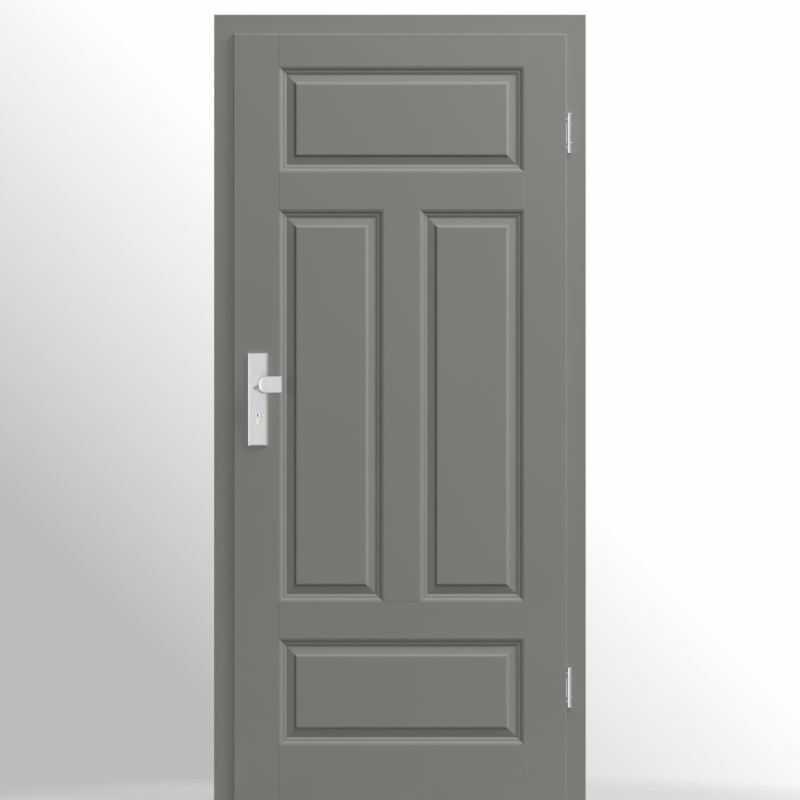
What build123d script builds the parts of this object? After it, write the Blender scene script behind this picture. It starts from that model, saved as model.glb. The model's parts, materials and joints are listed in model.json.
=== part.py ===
import os

from build123d import *

# Frame of the model: +X right, -Y towards the viewer, +Z up.
# The origin is in the middle of the door opening, at floor level, on the front casing's face.

# Leaf
leaf_width = 860
leaf_height = 1985
leaf_thickness = 40
floor_gap = 7
lip_width = 13
lip_thickness = 14.5
lip_gap = 0.5
lip_round = 2.5

# Stiles, rails and panels, as they show on the front
lock_stile = 117
hinge_stile = 109
top_rail = 84
upper_rail = 96
lower_rail = 95
bottom_rail = 148
mullion_width = 93
top_panel_height = 273.5
bottom_panel_height = 275
joint_chamfer = 0.8
dowel_radius = 7
dowel_length = 100
dowel_margin = 24

# Moulded edge of the openings and the raised panels, measured from the opening's edge
moulding_width = 20
moulding_drop = 1.2
moulding_depth = 9.5
quirk_share = 0.47
quirk_top = 0.55
quirk_low = 0.68
groove_depth = 12
groove_cover = 12
panel_clearance = 0.3
panel_side_play = 2
bevel_width = 20
bevel_start_sink = 0.2
bevel_high = 7.6
riser_height = 1.2
riser_width = 0.6
field_edge = 48.5
field_depth = 2

# Frame
rebate_clearance = 3.5
head_clearance = 4
stop_width = 15
stop_gap = 3
casing_width = 60
casing_thickness = 16
casing_round = 2
rebate_leg = 18
leg_overlap = 16
lining_thickness = 22
wall_thickness = 145
rear_setback = 3
rear_rabbet = 0.5
tongue_thickness = 6
tongue_length = 15
tongue_play = 0.1
seal_width = 9
seal_root = 3
seal_groove = 6
seal_root_end = 1
seal_lip = 1

# Hinges
hinge_rise = 296
hinge_top_drop = 256
knuckle_radius = 7.8
knuckle_play = 0.5
middle_play = 0.3
hinge_length = 103.6
middle_length = 48
pin_radius = 4
running_gap = 0.05
bush_radius = 5.5
bush_length = 18
flange_thickness = 0.8
flange_play = 0.1
cap_thickness = 4
web_half = 3.5
web_inset = 2
stud_radius = 3.5
collar_radius = 4.5
stud_length = 45
hinge_tongue = 5
hinge_tongue_half = 20
hinge_tongue_play = 2
hinge_tongue_end = 6
bar_relief = 0.15
bar_bite = 2
collar_sink = 1
cap_spigot = 3
cap_round = 1
flange_step = 0.4
receiver_half = 36
receiver_front = 7
receiver_back = 2
receiver_screw_depth = 17
receiver_screw_spread = 28
receiver_wall = 4
receiver_head = 3

# Lock
backset = 50
lock_centres = 72
spindle_height = 1079
case_height = 165
case_below_cylinder = 33
case_behind = 29
case_wall = 1.5
case_thickness = 15
faceplate_width = 20
faceplate_thickness = 3
faceplate_length = 235
faceplate_screw_inset = 8
faceplate_screw_radius = 1.9
faceplate_screw_length = 30
faceplate_head_radius = 4
faceplate_head_depth = 1.6
cylinder_screw_drop = 20
cylinder_screw_radius = 2.4
cylinder_screw_end = 4
spindle_side = 8
follower_radius = 11
journal_radius = 9
arm_reach = 19.5
bolt_thickness = 11.5
latch_throw = 12
latch_height = 30
latch_low = 4
latch_chamfer = 2
latch_head = 12
latch_tail_rise = 1.5
latch_tail_height = 8
latch_tail_inset = 2
latch_tab = 7
latch_tab_gap = 0.8
latch_tab_drop = 6
bolt_height = 26
bolt_above_cylinder = 16.5
bolt_head = 24
bolt_tail_inset = 3
bolt_tail_low = 9
bolt_tail_high = 4
bolt_end = 8
bolt_side_play = 0.2
bolt_high_play = 0.3
arm_half = 4
spring_radius = 3
spring_wire = 0.4
spring_pitch = 2.6
spring_end = 0.7
case_post = 3
case_post_side = 10
case_post_inset = 8
strike_length = 300
strike_width = 24
strike_thickness = 3
strike_screw_radius = 2.25
strike_head_radius = 4.5
strike_head_depth = 2.3
strike_screw_offsets = (-138, -100, 100, 138)
pocket_play = 1.5

# Profile cylinder
cylinder_head = 8.5
cylinder_lobe = 10
cylinder_drop = 24.5
cylinder_outer_proud = 2.75
cylinder_inner_proud = 9.25
plug_radius = 6.5
cam_reach = 15.2
cam_thickness = 9
cam_slot = 10
cam_nose = 3.5
bridge_top = 16
plug_setback = 0.3
key_half_width = 0.7
key_half_height = 4.2
key_depth = 24
key_depth_inner = 18

# Plates, knob and lever
plate_width = 50
plate_height = 239
plate_below_spindle = 151
outer_plate_thickness = 10
inner_plate_thickness = 8
plate_chamfer = 2.6
plate_screw_margin = 12
screw_radius = 3
screw_head_radius = 5
screw_head_height = 2.8
screw_head_setback = 0.2
boss_radius = 5
boss_length = 12
boss_bore_end = 6
knob_length = 61
knob_height = 42.4
knob_thickness = 12
knob_projection = 52
knob_lift = 7
knob_shift = 2.3
knob_round = 1.8
knob_round_share = 0.36
neck_radius = 17.5
neck_shift = 4.5
neck_width_share = 0.78
neck_height_share = 0.42
lever_radius = 9
lever_round = 3
lever_collar = 10
lever_collar_proud = 3
lever_collar_gap = 0.5
lever_projection = 48
lever_length = 125
lever_bend = 20
spindle_bore = 20
spindle_end_play = 1

# Clearances between seated pieces
fit = 0.1
slack = 0.4

# Places worked out from the sizes
leaf_left = -leaf_width / 2
leaf_right = leaf_width / 2
leaf_bottom = floor_gap
leaf_top = floor_gap + leaf_height
lip_back = -lip_gap
leaf_front = -lip_gap - lip_thickness
leaf_back = leaf_front + leaf_thickness
leaf_middle = (leaf_front + leaf_back) / 2
groove_half = leaf_thickness / 2 - groove_cover
rebate_half = leaf_width / 2 - lip_width
rebate_top = leaf_top - lip_width

opening_left = leaf_left + lock_stile
opening_right = leaf_right - hinge_stile
top_opening = (leaf_top - top_rail - top_panel_height, leaf_top - top_rail)
bottom_opening = (leaf_bottom + bottom_rail, leaf_bottom + bottom_rail + bottom_panel_height)
middle_opening = (bottom_opening[1] + lower_rail, top_opening[0] - upper_rail)
mullion_middle = (opening_left + opening_right) / 2
mullion_left = mullion_middle - mullion_width / 2
mullion_right = mullion_middle + mullion_width / 2

passage_half = rebate_half + rebate_clearance - stop_width
passage_top = rebate_top + head_clearance - stop_width
stop_face = leaf_back + stop_gap
casing_outer = stop_width + casing_width
wall_front = casing_thickness
wall_back = wall_front + wall_thickness
lining_end = wall_back + rear_rabbet

hinge_x = leaf_right + knuckle_radius + knuckle_play
hinge_y = lip_back - knuckle_radius
middle_radius = knuckle_radius - middle_play
hinge_heights = {"upper": leaf_top - hinge_top_drop, "lower": leaf_bottom + hinge_rise}
knuckle_start = middle_length / 2 + flange_play + flange_thickness
knuckle_end = hinge_length / 2 - cap_thickness
stud_offset = (knuckle_start + knuckle_end) / 2
web_length = 2 * (knuckle_start + collar_sink)
tongue_left = leaf_right + hinge_tongue_play
receiver_left = tongue_left - receiver_wall
receiver_right = tongue_left + hinge_tongue + receiver_wall
receiver_depth = stop_face + leg_overlap - receiver_back - receiver_front
hinge_tongue_depth = receiver_front + receiver_depth - hinge_tongue_end

lock_x = -rebate_half + backset
lock_middle = (lip_back + leaf_back) / 2
cylinder_height = spindle_height - lock_centres
case_left = -rebate_half + faceplate_thickness
case_right = lock_x + case_behind
case_bottom = cylinder_height - case_below_cylinder
case_top = case_bottom + case_height
case_front = lock_middle - case_thickness / 2
case_back = lock_middle + case_thickness / 2
latch_bottom = spindle_height + latch_low
latch_top = latch_bottom + latch_height
bolt_bottom = cylinder_height + bolt_above_cylinder
bolt_top = bolt_bottom + bolt_height
plate_bottom = spindle_height - plate_below_spindle
plate_middle = plate_bottom + plate_height / 2
plate_top = plate_bottom + plate_height
screw_heights = (plate_top - plate_screw_margin, plate_bottom + plate_screw_margin)
outer_face = leaf_front - outer_plate_thickness
inner_face = leaf_back + inner_plate_thickness

os.makedirs("parts", exist_ok=True)


def save(piece, name):
    """Label a finished piece and write its file."""
    piece.part.label = name
    export_step(piece.part, f"parts/{name}.step")


def block(x, y, z, mode=Mode.ADD):
    """A box between two limits in each direction."""
    low = (min(x), min(y), min(z))
    size = [abs(side[1] - side[0]) for side in (x, y, z)]
    with Locations(low):
        Box(*size, align=(Align.MIN, Align.MIN, Align.MIN), mode=mode)


def rod(start, direction, radius, length, mode=Mode.ADD):
    """A cylinder that starts at a point and runs along a direction."""
    with Locations(Plane(start, z_dir=direction).location):
        Cylinder(radius, length, align=(Align.CENTER, Align.CENTER, Align.MIN), mode=mode)


def mitred_bar(draw, start, end, across, turn_start, turn_end, depth=0.0, reach=120):
    """A bar of one section between two points (x, z) of the front view.

    The section's first axis runs across, its second runs back along +Y from depth.
    A turn of 1 mitres an end so that the bar narrows across, -1 so that it widens, 0 leaves it square.
    """
    first, last = Vector(start[0], 0, start[1]), Vector(end[0], 0, end[1])
    side = Vector(across[0], 0, across[1])
    along = (last - first).normalized()
    middle = (first + last) / 2 + Vector(0, depth, 0)
    with BuildPart() as bar:
        with BuildSketch(Plane(middle, x_dir=side, z_dir=side.cross(Vector(0, 1, 0)))):
            with BuildLine():
                draw()
            make_face()
        extrude(amount=(last - first).length / 2 + reach, both=True)
        split(bisect_by=Plane(first, z_dir=side * turn_start - along), keep=Keep.BOTTOM)
        split(bisect_by=Plane(last, z_dir=side * turn_end + along), keep=Keep.BOTTOM)
    return bar.part


def sticking_section():
    """The moulded edge of a stile or rail, with the groove that holds the panel."""
    half = leaf_thickness / 2
    quirk = moulding_width * quirk_share
    shoulder = half - moulding_drop
    upper = half - moulding_depth * quirk_top
    lower = half - moulding_depth * quirk_low
    floor = half - moulding_depth
    inner = moulding_width - groove_depth
    Line((0, 0), (0, -shoulder))
    TangentArc((0, -shoulder), (quirk, -upper), tangent=(1, 0))
    Line((quirk, -upper), (quirk, -lower))
    TangentArc((quirk, -lower), (moulding_width, -floor), tangent=(1, 0))
    Polyline(
        (moulding_width, -floor),
        (moulding_width, -groove_half),
        (inner, -groove_half),
        (inner, 0),
    )
    mirror(about=Plane.XZ)


def panel_section():
    """The raised edge of a panel: tongue, bevel, step and roundover up to the field."""
    half = leaf_thickness / 2
    tongue_edge = moulding_width - groove_depth + panel_side_play
    tongue_face = groove_half - panel_clearance
    bevel_start = moulding_width + panel_clearance
    bevel_end = moulding_width + bevel_width
    riser = half - bevel_high + riser_height
    Polyline(
        (tongue_edge, 0),
        (tongue_edge, -tongue_face),
        (bevel_start, -(groove_half - bevel_start_sink)),
        (bevel_end, -(half - bevel_high)),
        (bevel_end + riser_width, -riser),
    )
    TangentArc(
        (bevel_end + riser_width, -riser),
        (field_edge, -(half - field_depth)),
        tangent=(-1, 0),
        tangent_from_first=False,
    )
    Line((field_edge, -(half - field_depth)), (field_edge, 0))
    mirror(about=Plane.XZ)


def front_casing_section():
    """The front casing: face, rebate cheek and the leg that laps the lining."""
    leg = stop_width + rebate_leg
    outline = Polyline(
        (stop_width, 0),
        (casing_outer, 0),
        (casing_outer, casing_thickness),
        (leg, casing_thickness),
        (leg, stop_face + leg_overlap),
        (lining_thickness, stop_face + leg_overlap),
        (lining_thickness, stop_face),
        (stop_width, stop_face),
        close=True,
    )
    fillet(outline.vertices().group_by(Axis.Y)[0], casing_round)


def lining_section():
    """The lining board, with the seal's groove in front and the rear casing's groove behind."""
    groove = (lining_thickness - tongue_thickness) / 2 - tongue_play
    Polyline(
        (0, stop_face),
        (seal_root, stop_face),
        (seal_root, stop_face + seal_groove),
        (2 * seal_root, stop_face + seal_groove),
        (2 * seal_root, stop_face),
        (lining_thickness, stop_face),
        (lining_thickness, lining_end),
        (lining_thickness - groove, lining_end),
        (lining_thickness - groove, wall_back - tongue_length - 1),
        (groove, wall_back - tongue_length - 1),
        (groove, lining_end),
        (0, lining_end),
        close=True,
    )


def rear_casing_section():
    """The rear casing: face, rabbet over the lining's edge and the tongue that plugs into it."""
    tongue = (lining_thickness - tongue_thickness) / 2
    outline = Polyline(
        (rear_setback, lining_end),
        (tongue, lining_end),
        (tongue, wall_back - tongue_length),
        (tongue + tongue_thickness, wall_back - tongue_length),
        (tongue + tongue_thickness, lining_end),
        (lining_thickness + fit, lining_end),
        (lining_thickness + fit, wall_back),
        (casing_outer, wall_back),
        (casing_outer, wall_back + casing_thickness),
        (rear_setback, wall_back + casing_thickness),
        close=True,
    )
    fillet(outline.vertices().group_by(Axis.Y)[-1], casing_round)


def seal_section():
    """The rebate seal: a root in the lining's groove and a rounded bulb in front of the stop."""
    bulb = stop_face - leaf_back - panel_clearance
    root = seal_root - 2 * fit
    Polyline(
        (seal_width, stop_face),
        (seal_root + fit + root, stop_face),
        (seal_root + fit + root, stop_face + seal_groove - seal_root_end),
        (seal_root + fit, stop_face + seal_groove - seal_root_end),
        (seal_root + fit, stop_face),
        (seal_lip, stop_face),
    )
    middle = (seal_lip + seal_width) / 2
    ThreePointArc((seal_lip, stop_face), (middle, stop_face - bulb), (seal_width, stop_face))


def frame_side(draw, side):
    """A frame piece along one side: square on the floor, mitred at the head. side is -1 or 1."""
    return mitred_bar(
        draw, (side * passage_half, 0), (side * passage_half, passage_top), (side, 0), 0, -1
    )


def frame_head(draw):
    """A frame piece across the head, mitred at both ends."""
    return mitred_bar(
        draw, (-passage_half, passage_top), (passage_half, passage_top), (0, 1), -1, -1
    )


def profile(play=0.0):
    """The outline of a profile cylinder around the middle of its plug."""
    tip = cylinder_lobe / 2 + play
    with Locations((lock_x, cylinder_height)):
        Circle(cylinder_head + play)
    with Locations((lock_x, cylinder_height - (cylinder_drop - cylinder_lobe / 2) / 2)):
        Rectangle(2 * tip, cylinder_drop - cylinder_lobe / 2)
    with Locations((lock_x, cylinder_height - cylinder_drop + cylinder_lobe / 2)):
        Circle(tip)


def at_depth(y):
    """A sketch plane seen from the front: local x is x and local y is z."""
    return Plane((0, y, 0), x_dir=(1, 0, 0), z_dir=(0, -1, 0))


def cylinder_hole(front, back):
    """Cut the cylinder's profile through the current part."""
    with BuildSketch(at_depth(back)) as outline:
        profile(slack)
    extrude(outline.sketch, amount=back - front, mode=Mode.SUBTRACT)


# Leaf: stiles, rails and mullion
def stile(side, width, openings):
    """A stile with its rebated edge; side is -1 at the lock and 1 at the hinges."""
    outer = side * leaf_width / 2
    inner = outer - side * width
    edges = [
        mitred_bar(sticking_section, (inner, low), (inner, high), (-side, 0), 1, 1, leaf_middle)
        for low, high in openings
    ]
    with BuildPart() as made:
        block((outer, inner), (leaf_front, leaf_back), (leaf_bottom, leaf_top))
        block((outer, side * rebate_half), (lip_back, leaf_back), (leaf_bottom, leaf_top), Mode.SUBTRACT)
        block((outer, inner), (lip_back, leaf_back), (rebate_top, leaf_top), Mode.SUBTRACT)
        front = made.edges().group_by(Axis.Y)[0]
        outside = front.filter_by(Axis.Z).sort_by(Axis.X)[0 if side < 0 else -1]
        fillet([outside, front.filter_by(Axis.X).sort_by(Axis.Z)[-1]], lip_round)
        add(edges)
    return made.part


def rail(low, high, ends, below=(), above=()):
    """A rail between its ends, with moulded edges over the openings below and above it."""
    edges = [
        mitred_bar(sticking_section, (left, low), (right, low), (0, -1), 1, 1, leaf_middle)
        for left, right in below
    ]
    edges += [
        mitred_bar(sticking_section, (left, high), (right, high), (0, 1), 1, 1, leaf_middle)
        for left, right in above
    ]
    with BuildPart() as made:
        block(ends, (leaf_front, leaf_back), (low, high))
        for face_edges in (made.edges().group_by(Axis.Y)[0], made.edges().group_by(Axis.Y)[-1]):
            chamfer(face_edges.filter_by(Axis.Z), joint_chamfer)
        if high == leaf_top:
            block(ends, (lip_back, leaf_back), (rebate_top, leaf_top), Mode.SUBTRACT)
            top_edge = made.edges().filter_by(Axis.X).group_by(Axis.Y)[0].sort_by(Axis.Z)[-1]
            fillet(top_edge, lip_round)
        add(edges)
    return made.part


def dowel_places():
    """The middle and the direction of each dowel."""
    places = []
    for low, high in (
        (top_opening[1], rebate_top),
        (middle_opening[1], top_opening[0]),
        (bottom_opening[1], middle_opening[0]),
        (leaf_bottom, bottom_opening[0]),
    ):
        for x in (opening_left, opening_right):
            for z in (low + dowel_margin, high - dowel_margin):
                places.append(((x, leaf_middle, z), (1, 0, 0)))
    for z in middle_opening:
        for x in (mullion_left + dowel_margin, mullion_right - dowel_margin):
            places.append(((x, leaf_middle, z), (0, 0, 1)))
    return places


def dowels(radius, length, mode=Mode.ADD):
    """All dowels, or the holes for them."""
    for middle, direction in dowel_places():
        start = Vector(*middle) - Vector(*direction) * length / 2
        rod(tuple(start), direction, radius, length, mode)


sides = (opening_left, opening_right)
middle_pair = ((opening_left, mullion_left), (mullion_right, opening_right))
rails = {
    "rail_top": rail(top_opening[1], leaf_top, sides, below=(sides,)),
    "rail_upper": rail(middle_opening[1], top_opening[0], sides, below=middle_pair, above=(sides,)),
    "rail_lower": rail(bottom_opening[1], middle_opening[0], sides, below=(sides,), above=middle_pair),
    "rail_bottom": rail(leaf_bottom, bottom_opening[0], sides, above=(sides,)),
}
for name, shape in rails.items():
    with BuildPart() as drilled_rail:
        add(shape)
        dowels(dowel_radius + fit, dowel_length + 1, Mode.SUBTRACT)
    save(drilled_rail, name)

mullion_edges = [
    mitred_bar(
        sticking_section, (x, middle_opening[0]), (x, middle_opening[1]), (way, 0), 1, 1, leaf_middle
    )
    for x, way in ((mullion_left, -1), (mullion_right, 1))
]
with BuildPart() as mullion:
    block((mullion_left, mullion_right), (leaf_front, leaf_back), middle_opening)
    for mullion_face in (mullion.edges().group_by(Axis.Y)[0], mullion.edges().group_by(Axis.Y)[-1]):
        chamfer(mullion_face.filter_by(Axis.X), joint_chamfer)
    add(mullion_edges)
    dowels(dowel_radius + fit, dowel_length + 1, Mode.SUBTRACT)
save(mullion, "mullion")

with BuildPart() as leaf_dowels:
    dowels(dowel_radius, dowel_length)
save(leaf_dowels, "leaf_dowels")


# Raised panels
def panel(name, x, z):
    """A raised panel in the opening between two limits in x and z."""
    corners = [(x[0], z[0]), (x[1], z[0]), (x[1], z[1]), (x[0], z[1])]
    ways = [(0, 1), (-1, 0), (0, -1), (1, 0)]
    edges = [
        mitred_bar(panel_section, corners[n], corners[(n + 1) % 4], ways[n], 1, 1, leaf_middle)
        for n in range(4)
    ]
    field = leaf_thickness / 2 - field_depth
    with BuildPart() as made:
        block(
            (x[0] + field_edge, x[1] - field_edge),
            (leaf_middle - field, leaf_middle + field),
            (z[0] + field_edge, z[1] - field_edge),
        )
        add(edges)
    save(made, name)


panel("panel_top", sides, top_opening)
panel("panel_left", middle_pair[0], middle_opening)
panel("panel_right", middle_pair[1], middle_opening)
panel("panel_bottom", sides, bottom_opening)


# Hinges
def hinge_cuts():
    """The studs' bores and the bar's mortises in the edge of the hinge stile."""
    for z in hinge_heights.values():
        block(
            (leaf_right - web_inset - fit, leaf_right + 1),
            (hinge_y - web_half - fit, hinge_y + web_half + fit),
            (z - web_length / 2 - fit, z + web_length / 2 + fit),
            Mode.SUBTRACT,
        )
        for side in (-1, 1):
            start = (leaf_right + 1, hinge_y, z + side * stud_offset)
            rod(start, (-1, 0, 0), collar_radius + fit, 1 + collar_sink + 2 * fit, Mode.SUBTRACT)
            rod(start, (-1, 0, 0), stud_radius + fit, 1 + stud_length + 1, Mode.SUBTRACT)


hinge_stile_shape = stile(1, hinge_stile, (top_opening, middle_opening, bottom_opening))
with BuildPart() as stile_hinge:
    add(hinge_stile_shape)
    dowels(dowel_radius + fit, dowel_length + 1, Mode.SUBTRACT)
    hinge_cuts()
save(stile_hinge, "stile_hinge")

for place, hinge_z in hinge_heights.items():
    with BuildPart() as hinge_leaf_part:
        for side in (-1, 1):
            knuckle_base = (hinge_x, hinge_y, hinge_z + side * knuckle_start)
            rod(knuckle_base, (0, 0, side), knuckle_radius, knuckle_end - knuckle_start)
            stud_z = hinge_z + side * stud_offset
            rod((hinge_x, hinge_y, stud_z), (-1, 0, 0), collar_radius, hinge_x - leaf_right + collar_sink)
            rod((hinge_x, hinge_y, stud_z), (-1, 0, 0), stud_radius, hinge_x - leaf_right + stud_length)
        block(
            (leaf_right - web_inset, hinge_x - bar_bite),
            (hinge_y - web_half, hinge_y + web_half),
            (hinge_z - web_length / 2, hinge_z + web_length / 2),
        )
        rod(
            (hinge_x, hinge_y, hinge_z - knuckle_start),
            (0, 0, 1),
            middle_radius + bar_relief,
            2 * knuckle_start,
            Mode.SUBTRACT,
        )
        rod(
            (hinge_x, hinge_y, hinge_z - hinge_length),
            (0, 0, 1),
            bush_radius + running_gap,
            2 * hinge_length,
            Mode.SUBTRACT,
        )
    save(hinge_leaf_part, f"hinge_leaf_part_{place}")

    with BuildPart() as hinge_frame_part:
        rod((hinge_x, hinge_y, hinge_z - middle_length / 2), (0, 0, 1), middle_radius, middle_length)
        block(
            (tongue_left, tongue_left + hinge_tongue),
            (hinge_y, hinge_tongue_depth),
            (hinge_z - hinge_tongue_half, hinge_z + hinge_tongue_half),
        )
        rod(
            (hinge_x, hinge_y, hinge_z - middle_length),
            (0, 0, 1),
            pin_radius + running_gap,
            2 * middle_length,
            Mode.SUBTRACT,
        )
    save(hinge_frame_part, f"hinge_frame_part_{place}")

    pin_half = knuckle_start + bush_length
    with BuildPart() as hinge_pin:
        rod((hinge_x, hinge_y, hinge_z - pin_half), (0, 0, 1), pin_radius, 2 * pin_half)
    save(hinge_pin, f"hinge_pin_{place}")

    with BuildPart() as hinge_bushes:
        for side in (-1, 1):
            flange_base = (hinge_x, hinge_y, hinge_z + side * (middle_length / 2 + flange_play))
            rod(flange_base, (0, 0, side), middle_radius - flange_step, flange_thickness)
            rod(flange_base, (0, 0, side), bush_radius, bush_length)
        rod(
            (hinge_x, hinge_y, hinge_z - hinge_length),
            (0, 0, 1),
            pin_radius + running_gap,
            2 * hinge_length,
            Mode.SUBTRACT,
        )
    save(hinge_bushes, f"hinge_bushes_{place}")

    with BuildPart() as hinge_caps:
        for side in (-1, 1):
            cap_base = (hinge_x, hinge_y, hinge_z + side * knuckle_end)
            rod(cap_base, (0, 0, side), knuckle_radius, cap_thickness)
            rod(cap_base, (0, 0, -side), bush_radius - running_gap, cap_spigot)
        cap_rims = hinge_caps.faces().filter_by(Axis.Z).sort_by(Axis.Z)
        fillet([cap_rims[0].edges()[0], cap_rims[-1].edges()[0]], cap_round)
    save(hinge_caps, f"hinge_caps_{place}")

    with BuildPart() as hinge_receiver:
        block(
            (receiver_left, receiver_right),
            (receiver_front, receiver_front + receiver_depth),
            (hinge_z - receiver_half, hinge_z + receiver_half),
        )
        block(
            (tongue_left - fit, tongue_left + hinge_tongue + fit),
            (0, 2 * receiver_depth),
            (hinge_z - hinge_tongue_half - fit, hinge_z + hinge_tongue_half + fit),
            Mode.SUBTRACT,
        )
        for offset in (-receiver_screw_spread, 0, receiver_screw_spread):
            rod(
                (receiver_left - 1, receiver_screw_depth, hinge_z + offset),
                (1, 0, 0),
                screw_radius + fit,
                hinge_tongue if offset == 0 else 2 * receiver_depth,
                Mode.SUBTRACT,
            )
    save(hinge_receiver, f"hinge_receiver_{place}")

cheek = passage_half + stop_width
with BuildPart() as receiver_screws:
    for hinge_z in hinge_heights.values():
        for offset in (-receiver_screw_spread, 0, receiver_screw_spread):
            screw_start = (cheek + 2 * fit, receiver_screw_depth, hinge_z + offset)
            screw_end = tongue_left if offset == 0 else receiver_right
            rod(screw_start, (1, 0, 0), screw_radius, screw_end - screw_start[0])
            if offset:
                rod(screw_start, (1, 0, 0), 2 * screw_radius, receiver_head)
save(receiver_screws, "receiver_screws")

# Frame
hinge_side_shapes = {
    "lining": frame_side(lining_section, 1),
    "front_casing": frame_side(front_casing_section, 1),
    "rear_casing": frame_side(rear_casing_section, 1),
    "seal": frame_side(seal_section, 1),
}
lock_side_shapes = {
    "lining": frame_side(lining_section, -1),
    "front_casing": frame_side(front_casing_section, -1),
    "rear_casing": frame_side(rear_casing_section, -1),
    "seal": frame_side(seal_section, -1),
}
head_shapes = {
    "lining": frame_head(lining_section),
    "front_casing": frame_head(front_casing_section),
    "rear_casing": frame_head(rear_casing_section),
    "seal": frame_head(seal_section),
}


def receiver_cuts():
    """The receivers' pockets, the tongues' slots and the screws' bores in the front casing."""
    for z in hinge_heights.values():
        block(
            (receiver_left - fit, receiver_right + 1),
            (receiver_front - fit, stop_face + leg_overlap + 1),
            (z - receiver_half - fit, z + receiver_half + fit),
            Mode.SUBTRACT,
        )
        block(
            (tongue_left - fit, tongue_left + hinge_tongue + fit),
            (-1, receiver_front),
            (z - hinge_tongue_half - fit, z + hinge_tongue_half + fit),
            Mode.SUBTRACT,
        )
        for offset in (-receiver_screw_spread, 0, receiver_screw_spread):
            start = (cheek - 1, receiver_screw_depth, z + offset)
            rod(start, (1, 0, 0), screw_radius + fit, rebate_leg, Mode.SUBTRACT)
            if offset:
                sink = 1 + receiver_head + 3 * fit
                rod(start, (1, 0, 0), 2 * screw_radius + fit, sink, Mode.SUBTRACT)


strike_bottom = plate_middle - strike_length / 2
strike_top = plate_middle + strike_length / 2
strike_front = lock_middle - strike_width / 2
strike_back = lock_middle + strike_width / 2
strike_screws_z = [plate_middle + offset for offset in strike_screw_offsets]
bolt_front = lock_middle - bolt_thickness / 2
bolt_back = lock_middle + bolt_thickness / 2


def bolt_pockets(mode=Mode.SUBTRACT):
    """The openings that the latch and the dead bolt enter."""
    for low, high in ((latch_bottom, latch_top), (bolt_bottom, bolt_top)):
        block(
            (-cheek + 1, -cheek - rebate_leg - 1),
            (bolt_front - pocket_play, bolt_back + pocket_play),
            (low - pocket_play, high + pocket_play),
            mode,
        )


def strike_cuts():
    """The strike plate's recess, its screws' bores and the bolts' pockets in the lock casing."""
    block(
        (-cheek + 1, -cheek - strike_thickness),
        (strike_front - fit, strike_back + fit),
        (strike_bottom - fit, strike_top + fit),
        Mode.SUBTRACT,
    )
    bolt_pockets()
    for z in strike_screws_z:
        start = (-cheek, lock_middle, z)
        rod(start, (-1, 0, 0), strike_screw_radius + fit, rebate_leg + 1, Mode.SUBTRACT)


with BuildPart() as front_casing_hinge:
    add(hinge_side_shapes["front_casing"])
    receiver_cuts()
save(front_casing_hinge, "front_casing_hinge")

with BuildPart() as front_casing_lock:
    add(lock_side_shapes["front_casing"])
    strike_cuts()
save(front_casing_lock, "front_casing_lock")

frame_shapes = {"front_casing_head": head_shapes["front_casing"]}
for kind in ("lining", "rear_casing", "seal"):
    frame_shapes[f"{kind}_hinge"] = hinge_side_shapes[kind]
    frame_shapes[f"{kind}_lock"] = lock_side_shapes[kind]
    frame_shapes[f"{kind}_head"] = head_shapes[kind]
for name, shape in frame_shapes.items():
    with BuildPart() as frame_piece:
        add(shape)
    save(frame_piece, name)

with BuildPart() as strike_plate:
    block((-cheek, -cheek - strike_thickness), (strike_front, strike_back), (strike_bottom, strike_top))
    bolt_pockets()
    for z in strike_screws_z:
        start = (-cheek, lock_middle, z)
        rod(start, (-1, 0, 0), strike_screw_radius + fit, strike_thickness, Mode.SUBTRACT)
        with Locations(Plane(start, z_dir=(1, 0, 0)).location):
            Cone(
                strike_screw_radius + fit,
                strike_head_radius + fit,
                strike_head_depth + fit,
                align=(Align.CENTER, Align.CENTER, Align.MAX),
                mode=Mode.SUBTRACT,
            )
save(strike_plate, "strike_plate")

with BuildPart() as strike_screws:
    for z in strike_screws_z:
        rod((-cheek, lock_middle, z), (-1, 0, 0), strike_screw_radius, rebate_leg - 1)
        with Locations(Plane((-cheek, lock_middle, z), z_dir=(1, 0, 0)).location):
            Cone(
                strike_screw_radius,
                strike_head_radius,
                strike_head_depth,
                align=(Align.CENTER, Align.CENTER, Align.MAX),
            )
save(strike_screws, "strike_screws")

# Lock stile with the lock's mortise
lock_stile_shape = stile(-1, lock_stile, (top_opening, middle_opening, bottom_opening))
faceplate_low = plate_middle - faceplate_length / 2
faceplate_high = plate_middle + faceplate_length / 2
faceplate_screws_z = (faceplate_low + faceplate_screw_inset, faceplate_high - faceplate_screw_inset)
cylinder_screw_z = cylinder_height - cylinder_screw_drop
with BuildPart() as stile_lock:
    add(lock_stile_shape)
    dowels(dowel_radius + fit, dowel_length + 1, Mode.SUBTRACT)
    block(
        (-rebate_half - 1, case_left),
        (lock_middle - faceplate_width / 2 - fit, lock_middle + faceplate_width / 2 + fit),
        (faceplate_low - fit, faceplate_high + fit),
        Mode.SUBTRACT,
    )
    block(
        (case_left - 1, case_right + slack),
        (case_front - slack, case_back + slack),
        (case_bottom - slack, case_top + slack),
        Mode.SUBTRACT,
    )
    cylinder_hole(leaf_front - 1, leaf_back + 1)
    spindle_point = (lock_x, case_front, spindle_height)
    rod(spindle_point, (0, 1, 0), lever_collar + slack, leaf_thickness, Mode.SUBTRACT)
    for z in screw_heights:
        rod((lock_x, leaf_front - 1, z), (0, 1, 0), boss_radius + fit, leaf_thickness + 2, Mode.SUBTRACT)
    for z in faceplate_screws_z:
        start = (case_left - 1, lock_middle, z)
        bore_length = faceplate_screw_length + 2
        rod(start, (1, 0, 0), faceplate_screw_radius + fit, bore_length, Mode.SUBTRACT)
save(stile_lock, "stile_lock")

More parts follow.
